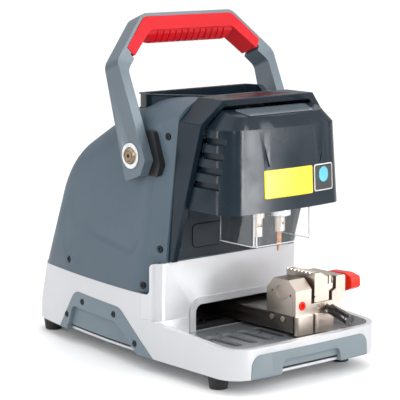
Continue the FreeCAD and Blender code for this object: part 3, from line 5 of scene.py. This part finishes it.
import bmesh
import bpy
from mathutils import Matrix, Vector
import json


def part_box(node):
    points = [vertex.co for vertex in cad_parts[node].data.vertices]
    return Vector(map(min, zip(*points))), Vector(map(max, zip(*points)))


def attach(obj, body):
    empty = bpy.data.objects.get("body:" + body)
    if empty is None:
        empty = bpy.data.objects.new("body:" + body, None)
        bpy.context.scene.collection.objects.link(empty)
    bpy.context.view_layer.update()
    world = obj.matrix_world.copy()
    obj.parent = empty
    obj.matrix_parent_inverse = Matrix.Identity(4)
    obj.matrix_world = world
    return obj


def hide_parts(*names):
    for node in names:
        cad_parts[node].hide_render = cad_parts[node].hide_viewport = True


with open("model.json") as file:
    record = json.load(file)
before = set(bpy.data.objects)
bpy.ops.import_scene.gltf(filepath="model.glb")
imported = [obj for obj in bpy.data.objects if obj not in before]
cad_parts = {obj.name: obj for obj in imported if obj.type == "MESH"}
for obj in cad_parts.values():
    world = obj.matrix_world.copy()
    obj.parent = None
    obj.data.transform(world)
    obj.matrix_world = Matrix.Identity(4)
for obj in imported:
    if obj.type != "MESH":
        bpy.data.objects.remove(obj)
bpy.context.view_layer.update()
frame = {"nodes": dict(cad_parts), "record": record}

MM = 0.001
EDGE_ANGLE = math.radians(32)
nodes = frame["nodes"]
body_of = {node: body for body, members in frame["record"]["behaviour"]["bodies"].items() for node in members}
slot_of = {entry["node"]: entry["material_slot"] for entry in frame["record"]["subparts"]}


# ---------------------------------------------------------------- materials
# Noise scales are per metre, and the depths of fine relief are in metres.
MOTTLE_SCALE = 9.0
HANDLING_SCALE = 35.0
GRAIN_DEPTH = 0.00012
METAL_TONE_SCALE = 60.0
MACHINING_SCALE = 260.0
MACHINING_DEPTH = 0.00008
RUBBER_TONE_SCALE = 14.0
RUBBER_POLISH_SCALE = 90.0
PEBBLE_SCALE = 1100.0
PEBBLE_DEPTH = 0.00015
FLOW_SCALE = 40.0
RIPPLE_SCALE = 60.0
RIPPLE_DEPTH = 0.0003
COAT_ROUGHNESS = 0.12
ACRYLIC_IOR = 1.49


def new_material(name):
    """An empty node material with its Principled shader."""
    material = bpy.data.materials.new(name)
    material.use_nodes = True
    return material, material.node_tree, material.node_tree.nodes["Principled BSDF"]


def noise(tree, scale, detail=4.0, stretch=None):
    """Noise in object space, stretched along an axis where asked."""
    place = tree.nodes.new("ShaderNodeTexCoord")
    texture = tree.nodes.new("ShaderNodeTexNoise")
    texture.inputs["Scale"].default_value = scale
    texture.inputs["Detail"].default_value = detail
    if stretch is None:
        tree.links.new(place.outputs["Object"], texture.inputs["Vector"])
        return texture
    mapping = tree.nodes.new("ShaderNodeMapping")
    mapping.inputs["Scale"].default_value = stretch
    tree.links.new(place.outputs["Object"], mapping.inputs["Vector"])
    tree.links.new(mapping.outputs["Vector"], texture.inputs["Vector"])
    return texture


def ramp(tree, source, low, high, start=0.35, end=0.65):
    """A value or colour that follows a noise between two limits."""
    blend = tree.nodes.new("ShaderNodeValToRGB")
    blend.color_ramp.elements[0].position = start
    blend.color_ramp.elements[1].position = end
    if isinstance(low, (int, float)):
        low, high = (low, low, low), (high, high, high)
    blend.color_ramp.elements[0].color = (*low, 1)
    blend.color_ramp.elements[1].color = (*high, 1)
    tree.links.new(source.outputs["Fac"], blend.inputs["Fac"])
    return blend


def bump(tree, shader, source, strength, distance):
    """Bump from a noise, chained after any bump that is already there."""
    relief = tree.nodes.new("ShaderNodeBump")
    relief.inputs["Strength"].default_value = strength
    relief.inputs["Distance"].default_value = distance
    tree.links.new(source.outputs["Fac"], relief.inputs["Height"])
    earlier = shader.inputs["Normal"].links
    if earlier:
        tree.links.new(earlier[0].from_socket, relief.inputs["Normal"])
    tree.links.new(relief.outputs["Normal"], shader.inputs["Normal"])


def shade(colour, factor):
    """A colour made lighter or darker."""
    return tuple(min(1.0, channel * factor) for channel in colour)


def mottled(tree, source, colour, variation):
    """A colour that wanders a little either side of its mean."""
    return ramp(tree, source, shade(colour, 1 - variation), shade(colour, 1 + variation))


def moulded(name, colour, roughness, grain=0.25, coat=0.0, variation=0.06, grain_scale=1500,
            gloss=0.5, metallic=0.0):
    """Moulded plastic: fine spark texture, slight mottling and handling marks in the gloss."""
    material, tree, shader = new_material(name)
    shader.inputs["Specular IOR Level"].default_value = gloss
    shader.inputs["Metallic"].default_value = metallic
    mottle = mottled(tree, noise(tree, MOTTLE_SCALE), colour, variation)
    tree.links.new(mottle.outputs["Color"], shader.inputs["Base Color"])
    polish = ramp(tree, noise(tree, HANDLING_SCALE, 6.0), max(roughness - 0.05, 0.02), roughness + 0.06)
    tree.links.new(polish.outputs["Color"], shader.inputs["Roughness"])
    bump(tree, shader, noise(tree, grain_scale, 2.0), grain, GRAIN_DEPTH)
    shader.inputs["Coat Weight"].default_value = coat
    shader.inputs["Coat Roughness"].default_value = COAT_ROUGHNESS
    return material


def metal(name, colour, roughness, brushed=None, variation=0.08, relief=0.15, wander=1.0):
    """Metal with a machined or brushed grain, and tone that wanders a little."""
    material, tree, shader = new_material(name)
    shader.inputs["Metallic"].default_value = 1.0
    tone = mottled(tree, noise(tree, METAL_TONE_SCALE, 5.0), colour, variation)
    tree.links.new(tone.outputs["Color"], shader.inputs["Base Color"])
    lines = noise(tree, MACHINING_SCALE, 6.0, brushed or (1, 1, 1))
    polish = ramp(tree, lines, max(roughness - 0.08 * wander, 0.03), roughness + 0.1 * wander)
    tree.links.new(polish.outputs["Color"], shader.inputs["Roughness"])
    bump(tree, shader, lines, relief, MACHINING_DEPTH)
    return material


def rubber(name, colour, roughness=0.6, gloss=0.5):
    """Soft-touch rubber with a pebbled skin."""
    material, tree, shader = new_material(name)
    shader.inputs["Specular IOR Level"].default_value = gloss
    tone = ramp(tree, noise(tree, RUBBER_TONE_SCALE), shade(colour, 0.9), shade(colour, 1.08))
    tree.links.new(tone.outputs["Color"], shader.inputs["Base Color"])
    polish = ramp(tree, noise(tree, RUBBER_POLISH_SCALE), roughness - 0.07, roughness + 0.07)
    tree.links.new(polish.outputs["Color"], shader.inputs["Roughness"])
    bump(tree, shader, noise(tree, PEBBLE_SCALE, 3.0), 0.35, PEBBLE_DEPTH)
    return material


def clear(name, colour, roughness):
    """Clear moulded plastic with faint flow marks."""
    material, tree, shader = new_material(name)
    shader.inputs["Base Color"].default_value = (*colour, 1)
    shader.inputs["IOR"].default_value = ACRYLIC_IOR
    shader.inputs["Transmission Weight"].default_value = 1.0
    marks = ramp(tree, noise(tree, FLOW_SCALE, 3.0), roughness, roughness + 0.05)
    tree.links.new(marks.outputs["Color"], shader.inputs["Roughness"])
    bump(tree, shader, noise(tree, RIPPLE_SCALE, 2.0), 0.04, RIPPLE_DEPTH)
    return material


def maths(tree, operation, first, second):
    """A maths node on two values or outputs."""
    step = tree.nodes.new("ShaderNodeMath")
    step.operation = operation
    for index, value in enumerate((first, second)):
        if isinstance(value, (int, float)):
            step.inputs[index].default_value = value
        else:
            tree.links.new(value, step.inputs[index])
    return step.outputs[0]


def fade(tree, value, start, end, low=0.0, high=1.0):
    """A soft step of a value from low to high."""
    step = tree.nodes.new("ShaderNodeMapRange")
    step.interpolation_type = "SMOOTHSTEP"
    tree.links.new(value, step.inputs["Value"])
    for socket, number in (("From Min", start), ("From Max", end), ("To Min", low), ("To Max", high)):
        step.inputs[socket].default_value = number
    return step.outputs[0]


def scoop(material):
    """The shallow scoop pressed into the lower front of each side panel, as relief in the material.

    Its lower edge climbs straight behind a bend and ever faster ahead of it.  The scoop is deepest just
    above that edge, and fades out upwards and rearwards.
    """
    bend = -0.019
    lowest = 0.127
    slope_behind = 0.145
    curve_ahead = 42.0
    lower_step = (0.0, 0.010)
    upper_fade = (0.008, 0.045)
    rear_fade = (0.02, 0.09)
    top_fade = (0.132, 0.160)
    depth = 0.0019
    tree = material.node_tree
    shader = tree.nodes["Principled BSDF"]
    place = tree.nodes.new("ShaderNodeTexCoord")
    split = tree.nodes.new("ShaderNodeSeparateXYZ")
    tree.links.new(place.outputs["Object"], split.inputs["Vector"])
    along = split.outputs["Y"]
    height = split.outputs["Z"]
    behind = maths(tree, "MAXIMUM", maths(tree, "SUBTRACT", along, bend), 0.0)
    ahead = maths(tree, "MAXIMUM", maths(tree, "SUBTRACT", bend, along), 0.0)
    rise = maths(tree, "MULTIPLY", maths(tree, "MULTIPLY", ahead, ahead), curve_ahead)
    edge = maths(tree, "ADD", maths(tree, "MULTIPLY", behind, slope_behind), maths(tree, "ADD", rise, lowest))
    above = maths(tree, "SUBTRACT", height, edge)
    rising = fade(tree, above, *lower_step)
    falling = fade(tree, above, *upper_fade, 1.0, 0.0)
    deep = maths(tree, "MULTIPLY", rising, falling)
    deep = maths(tree, "MULTIPLY", deep, fade(tree, along, *rear_fade, 1.0, 0.0))
    deep = maths(tree, "MULTIPLY", deep, fade(tree, height, *top_fade, 1.0, 0.0))
    relief = tree.nodes.new("ShaderNodeBump")
    relief.invert = True
    relief.inputs["Strength"].default_value = 1.0
    relief.inputs["Distance"].default_value = depth
    tree.links.new(deep, relief.inputs["Height"])
    tree.links.new(shader.inputs["Normal"].links[0].from_socket, relief.inputs["Normal"])
    tree.links.new(relief.outputs["Normal"], shader.inputs["Normal"])


WHITE = moulded("white_moulding", (0.56, 0.57, 0.59), 0.34, grain=0.12, coat=0.1, variation=0.012,
                metallic=0.25)
SLATE = moulded("slate_moulding", (0.080, 0.113, 0.144), 0.44, grain=0.4, variation=0.04, grain_scale=1900,
                gloss=0.25)
scoop(SLATE)
TRIM_GREY = moulded("grey_trim", (0.15, 0.195, 0.23), 0.42, grain=0.2, variation=0.03, gloss=0.35)
TRIM_PALE = moulded("pale_trim", (0.19, 0.235, 0.26), 0.4, grain=0.2, variation=0.03, gloss=0.4)
DARK_GLOSS = moulded("dark_gloss", (0.008, 0.017, 0.027), 0.22, grain=0.03, variation=0.05, gloss=0.22)
SMOKED = moulded("smoked_window", (0.09, 0.115, 0.135), 0.16, grain=0.02, coat=0.3, variation=0.08)
RED_GLASS = moulded("red_window", (0.10, 0.002, 0.006), 0.20, grain=0.02, variation=0.15, gloss=0.02)
HANDLE_GREY = moulded("handle_paint", (0.095, 0.128, 0.155), 0.34, grain=0.2, coat=0.2, variation=0.04,
                      metallic=0.2)
GRIP_RED = rubber("grip_rubber", (0.66, 0.006, 0.014), 0.45, gloss=0.15)
BRASS = metal("pivot_brass", (0.24, 0.185, 0.13), 0.32)
STEEL = metal("ground_steel", (0.62, 0.62, 0.63), 0.24, brushed=(1, 1, 0.1))
ZINC = metal("zinc_plate", (0.66, 0.67, 0.69), 0.32)
BLACK_OXIDE = metal("black_oxide", (0.035, 0.035, 0.04), 0.4)
NICKEL = metal("warm_nickel", (0.60, 0.52, 0.455), 0.30, variation=0.02, relief=0.0, wander=0.3)
TABLE_DARK = metal("dark_anodised", (0.13, 0.115, 0.105), 0.4, brushed=(1, 0.05, 1))
ALUMINIUM = metal("milled_aluminium", (0.72, 0.73, 0.75), 0.3, brushed=(1, 0.1, 1))
TRAY_GREY = moulded("tray_paint", (0.31, 0.33, 0.355), 0.32, grain=0.15, coat=0.1, variation=0.03,
                    metallic=0.4)
# Painted shade: a dark colour for the floors of the tray's drain recesses.
TRAY_SHADE = moulded("tray_shade", (0.07, 0.076, 0.084), 0.5, grain=0.1, variation=0.05, gloss=0.2)
MOTOR_BLACK = moulded("motor_enamel", (0.03, 0.03, 0.033), 0.35)
KNOB_RED = moulded("knob_red", (0.78, 0.020, 0.004), 0.22, grain=0.05, coat=0.05, variation=0.12, gloss=0.25)
LEVER_BLACK = moulded("lever_black", (0.008, 0.008, 0.009), 0.14, grain=0.05, coat=0.5)
FOOT_RUBBER = rubber("foot_rubber", (0.014, 0.014, 0.015), 0.65)
COPPER = metal("coated_carbide", (0.50, 0.24, 0.13), 0.3)
BOARD = moulded("circuit_board", (0.02, 0.15, 0.07), 0.3, coat=0.3, variation=0.25)
FITTING = moulded("black_fitting", (0.010, 0.010, 0.011), 0.4, gloss=0.35)
CLEAR = clear("clear_guard", (0.97, 0.99, 1.0), 0.02)
# Painted glow: a pale colour that stands in for light leaving the clear guard at its rim and edges.
GUARD_PAINTED_GLOW = moulded("guard_painted_glow", (0.72, 0.74, 0.76), 0.18, grain=0.02, coat=0.6, variation=0.06)
YELLOW = moulded("yellow_film", (0.95, 0.78, 0.0), 0.32, grain=0.03, coat=0.2, variation=0.02)
BADGE_WHITE = moulded("white_film", (0.80, 0.80, 0.80), 0.3, grain=0.03, variation=0.02)
BADGE_BLACK = moulded("black_film", (0.012, 0.013, 0.016), 0.25, grain=0.03, coat=0.3)
BADGE_BLUE = moulded("blue_film", (0.10, 0.52, 0.68), 0.25, grain=0.03, coat=0.3, variation=0.25)

LOOK = {
    "white_shell": WHITE, "slate_panel": SLATE, "trim_grey": TRIM_GREY, "trim_pale": TRIM_PALE,
    "gloss_dark": DARK_GLOSS, "smoked": SMOKED, "red_window": RED_GLASS, "clear": CLEAR,
    "handle_grey": HANDLE_GREY, "grip_red": GRIP_RED, "pivot_brass": BRASS, "steel": STEEL,
    "screw_black": BLACK_OXIDE, "nickel": NICKEL, "table_dark": TABLE_DARK, "chassis": ALUMINIUM,
    "motor_black": MOTOR_BLACK, "knob_red": KNOB_RED, "lever_black": LEVER_BLACK,
    "foot_rubber": FOOT_RUBBER, "copper": COPPER, "board_green": BOARD, "fitting_black": FITTING,
    "zinc": ZINC, "tray_grey": TRAY_GREY,
}


# ---------------------------------------------------------------- pieces
WELD_REACH = 0.01 * MM
FLAT_ANGLE = math.radians(0.6)
EDGE_SEGMENTS = 3


def piece(name, mesh, material, body):
    """A finished object that rides on a body."""
    mesh.materials.clear()
    mesh.materials.append(material)
    thing = bpy.data.objects.new(name, mesh)
    bpy.context.scene.collection.objects.link(thing)
    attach(thing, body)
    return thing


def smooth(mesh):
    """Smooth shading that keeps the sharper edges crisp."""
    mesh.shade_smooth()
    mesh.set_sharp_from_angle(angle=EDGE_ANGLE)


def welded(node):
    """A node's solid with shared corners and whole flat faces."""
    form = bmesh.new()
    form.from_mesh(nodes[node].data)
    bmesh.ops.remove_doubles(form, verts=form.verts, dist=WELD_REACH)
    bmesh.ops.dissolve_limit(form, angle_limit=FLAT_ANGLE, verts=form.verts, edges=form.edges)
    mesh = bpy.data.meshes.new("shown_" + node)
    form.to_mesh(mesh)
    form.free()
    return mesh


def dress(node, round_mm):
    """A CAD node shown with softened edges, in its own material."""
    mesh = welded(node)
    smooth(mesh)
    shown = piece("shown_" + node, mesh, LOOK[slot_of[node]], body_of[node])
    soften(shown, round_mm)
    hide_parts(node)


def soften(thing, round_mm):
    """Round the sharper edges."""
    bevel = thing.modifiers.new("edges", "BEVEL")
    bevel.width = round_mm * MM
    bevel.segments = EDGE_SEGMENTS
    bevel.limit_method = "ANGLE"
    bevel.angle_limit = EDGE_ANGLE
    bevel.harden_normals = True
    bevel.use_clamp_overlap = True


PLAIN_ROUNDING = 0.35
ROUNDING = {
    "base_shell": 1.6, "front_trim": 0.8, "side_trim_left": 0.8, "side_trim_right": 0.8, "chip_tray": 0.8,
    "side_panel_left": 0.8, "side_panel_right": 0.8, "rear_cover": 0.6, "top_cover": 0.9,
    "hood_frame": 0.9, "head_cover": 1.8, "handle_frame": 1.2, "clamp_body": 0.6, "clamp_jaw": 0.5,
    "clamp_knob": 1.4, "feet": 1.0, "visor": 0.5,
}
for name in nodes:
    dress(name, ROUNDING.get(name, PLAIN_ROUNDING))


def light_the_rim():
    """The guard's rim and rear ends, given a pale colour as painted glow where light leaves the clear
    moulding.
    """
    rim_tilt = 0.7
    rear_tilt = 0.9
    rear_start = -115 * MM
    mesh = bpy.data.objects["shown_visor"].data
    mesh.materials.append(GUARD_PAINTED_GLOW)
    for face in mesh.polygons:
        at_rear = face.normal.y > rear_tilt and face.center.y > rear_start
        if abs(face.normal.z) > rim_tilt or at_rear:
            face.material_index = 1


def darken_recesses():
    """The drain recesses of the tray, whose floors get a dark colour as painted shade."""
    upward = 0.9
    mesh = bpy.data.objects["shown_chip_tray"].data
    mesh.materials.append(TRAY_SHADE)
    top = max(corner.co.z for corner in mesh.vertices)
    for face in mesh.polygons:
        if face.normal.z > upward and face.center.z < top - MM:
            face.material_index = 1


light_the_rim()
darken_recesses()

GUARD_TURN = 8 * MM
TURN_STEPS = 8
LINE_PROUD = 0.12 * MM
LINE_DEPTH = 0.9 * MM
guard_low, guard_high = (Vector(corner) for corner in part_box("visor"))


def guard_outline(grow):
    """The clear guard's outline in plan, from one rear end round the front to the other."""
    radius = GUARD_TURN + grow
    points = [(guard_low.x - grow, guard_high.y)]
    for side, start in ((-1, 180), (1, 270)):
        centre_x = side * (guard_high.x - GUARD_TURN)
        centre_y = guard_low.y + GUARD_TURN
        for step in range(TURN_STEPS + 1):
            angle = math.radians(start + step * 90 / TURN_STEPS)
            points.append((centre_x + radius * math.cos(angle), centre_y + radius * math.sin(angle)))
    points.append((guard_high.x + grow, guard_high.y))
    return points


def guard_line(name, stretch, low, high):
    """A thin line of painted glow along the guard's edge, standing for light leaving the clear moulding: a
    stretch of its outline, between two heights.
    """
    form = bmesh.new()
    outer = guard_outline(LINE_PROUD)[stretch]
    inner = guard_outline(-LINE_DEPTH)[stretch]
    rings = []
    for out, into in zip(outer, inner):
        rings.append([form.verts.new((*place, z)) for place, z in
                      ((out, low), (out, high), (into, high), (into, low))])
    for here, onward in zip(rings, rings[1:]):
        for side in range(4):
            after = (side + 1) % 4
            form.faces.new((here[side], here[after], onward[after], onward[side]))
    form.faces.new(rings[0])
    form.faces.new(rings[-1])
    bmesh.ops.recalc_face_normals(form, faces=form.faces)
    mesh = bpy.data.meshes.new(name)
    form.to_mesh(mesh)
    form.free()
    piece(name, mesh, GUARD_PAINTED_GLOW, body_of["visor"])


# Strips of painted glow along the guard's rim and at its two front bends.
guard_line("guard_rim_glow", slice(None), guard_low.z - 0.1 * MM, guard_low.z + 0.9 * MM)
left_bend = TURN_STEPS // 2
right_bend = left_bend + TURN_STEPS + 1
for name, first in (("guard_bend_left", left_bend), ("guard_bend_right", right_bend)):
    guard_line(name, slice(first, first + 2), guard_low.z + 1 * MM, guard_high.z - 0.5 * MM)


# ---------------------------------------------------------------- plates on the head
HEAD_BOW = 4 * MM
HEAD_HALF_WIDTH = 65 * MM
HEAD_NARROWING = 0.044
HEAD_LEAN = 0.0495
FILM_CELLS = (28, 20)
FILM_THICKNESS = 0.15 * MM
head_low = Vector(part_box("head_cover")[0])


def head_front(x, z):
    """Where the head's bowed and leaning front lies, front to back."""
    height = z - head_low.z
    bow = HEAD_BOW * (x / (HEAD_HALF_WIDTH - HEAD_NARROWING * height)) ** 2
    return head_low.y + bow + HEAD_LEAN * height


def film(name, middle, size, corner, material, proud):
    """A thin plate with round corners that follows the head's front."""
    half_wide = size[0] / 2 - corner
    half_high = size[1] / 2 - corner
    columns, levels = FILM_CELLS
    form = bmesh.new()
    rows = []
    for row in range(levels + 1):
        line = []
        for column in range(columns + 1):
            x = (column / columns - 0.5) * size[0]
            z = (row / levels - 0.5) * size[1]
            out_x = max(abs(x) - half_wide, 0)
            out_z = max(abs(z) - half_high, 0)
            reach = math.hypot(out_x, out_z)
            if out_x and out_z and reach > corner:
                x = math.copysign(half_wide + out_x * corner / reach, x)
                z = math.copysign(half_high + out_z * corner / reach, z)
            x += middle[0]
            z += middle[1]
            line.append(form.verts.new((x, head_front(x, z) - proud, z)))
        rows.append(line)
    for low, high in zip(rows, rows[1:]):
        for left in range(columns):
            form.faces.new((low[left], low[left + 1], high[left + 1], high[left]))
    mesh = bpy.data.meshes.new(name)
    form.to_mesh(mesh)
    form.free()
    mesh.shade_smooth()
    plate = piece(name, mesh, material, body_of["head_cover"])
    thick = plate.modifiers.new("thickness", "SOLIDIFY")
    thick.thickness = FILM_THICKNESS
    thick.offset = -1


PLATE_Z = 218.4 * MM
BADGE_X = 52.8 * MM
BADGE_Z = 219 * MM
film("plate_yellow", (-1.2 * MM, PLATE_Z), (72 * MM, 31 * MM), 1.6 * MM, YELLOW, 0.25 * MM)
film("badge_border", (BADGE_X, BADGE_Z), (31 * MM, 30 * MM), 2.5 * MM, BADGE_WHITE, 0.25 * MM)
film("badge_field", (BADGE_X, BADGE_Z), (28.6 * MM, 27.6 * MM), 1.8 * MM, BADGE_BLACK, 0.42 * MM)
film("badge_spot", (BADGE_X, 222.2 * MM), (15 * MM, 17 * MM), 7.4 * MM, BADGE_BLUE, 0.6 * MM)


# ---------------------------------------------------------------- floor, light and camera
MIDDLE = (0, 0, 0.2)
OVER_THE_TOP = (0, 0, 0.5)
FLOOR_REACH = 12


def floor():
    """A wide pale floor."""
    form = bmesh.new()
    bmesh.ops.create_grid(form, x_segments=2, y_segments=2, size=FLOOR_REACH)
    mesh = bpy.data.meshes.new("floor")
    form.to_mesh(mesh)
    form.free()
    ground = bpy.data.objects.new("floor", mesh)
    bpy.context.scene.collection.objects.link(ground)
    material, tree, shader = new_material("paper_floor")
    tone = ramp(tree, noise(tree, 3.0), (0.90, 0.90, 0.90), (0.93, 0.93, 0.93))
    tree.links.new(tone.outputs["Color"], shader.inputs["Base Color"])
    shader.inputs["Roughness"].default_value = 0.9
    shader.inputs["Specular IOR Level"].default_value = 0.1
    mesh.materials.append(material)


def soft_light(name, place, aim, width, height, power, only_gloss=False):
    """A softbox that points at a place, or a strip that shows only as a highlight."""
    lamp = bpy.data.lights.new(name, "AREA")
    lamp.shape = "RECTANGLE"
    lamp.size = width
    lamp.size_y = height
    lamp.energy = power
    holder = bpy.data.objects.new(name, lamp)
    holder.location = place
    holder.rotation_euler = (Vector(aim) - Vector(place)).to_track_quat("-Z", "Y").to_euler()
    holder.visible_diffuse = not only_gloss
    bpy.context.scene.collection.objects.link(holder)


def surroundings(brightness):
    """A white room, brightest overhead."""
    at_horizon = 0.30
    rise_start, rise_end = 0.05, 0.75
    world = bpy.data.worlds.new("white_room")
    bpy.context.scene.world = world
    world.use_nodes = True
    tree = world.node_tree
    direction = tree.nodes.new("ShaderNodeTexCoord")
    split = tree.nodes.new("ShaderNodeSeparateXYZ")
    tree.links.new(direction.outputs["Generated"], split.inputs["Vector"])
    backdrop = tree.nodes["Background"]
    backdrop.inputs["Color"].default_value = (1, 1, 1, 1)
    glow = fade(tree, split.outputs["Z"], rise_start, rise_end, at_horizon, brightness)
    tree.links.new(glow, backdrop.inputs["Strength"])


def camera():
    """A long lens to the front left of the machine, slightly above it."""
    azimuth = math.radians(-40.23)
    elevation = math.radians(9.31)
    back = Vector((math.sin(azimuth) * math.cos(elevation), -math.cos(azimuth) * math.cos(elevation),
                   math.sin(elevation)))
    lens = bpy.data.cameras.new("camera")
    lens.lens = 157.4
    lens.sensor_width = 36
    lens.clip_end = 100
    viewer = bpy.data.objects.new("camera", lens)
    viewer.location = (-1.2967, -1.5502, 0.5085)
    viewer.rotation_euler = (-back).to_track_quat("-Z", "Y").to_euler()
    bpy.context.scene.collection.objects.link(viewer)
    bpy.context.scene.camera = viewer


floor()
surroundings(1.35)
soft_light("key", (-0.9, -2.0, 1.2), MIDDLE, 0.5, 1.6, 16)
soft_light("side", (-2.0, 0.2, 1.0), MIDDLE, 0.8, 1.6, 4)
soft_light("fill", (1.6, -1.7, 0.9), MIDDLE, 0.6, 1.5, 13)
soft_light("top", (0, 0.3, 2.2), MIDDLE, 1.8, 1.8, 8)
soft_light("strip_right", (0.47, -1.16, 0.55), OVER_THE_TOP, 0.26, 1.1, 20, only_gloss=True)
soft_light("strip_left", (-1.10, 0.59, 0.55), OVER_THE_TOP, 0.16, 1.1, 5, only_gloss=True)
camera()
bpy.context.scene.view_settings.view_transform = "Standard"
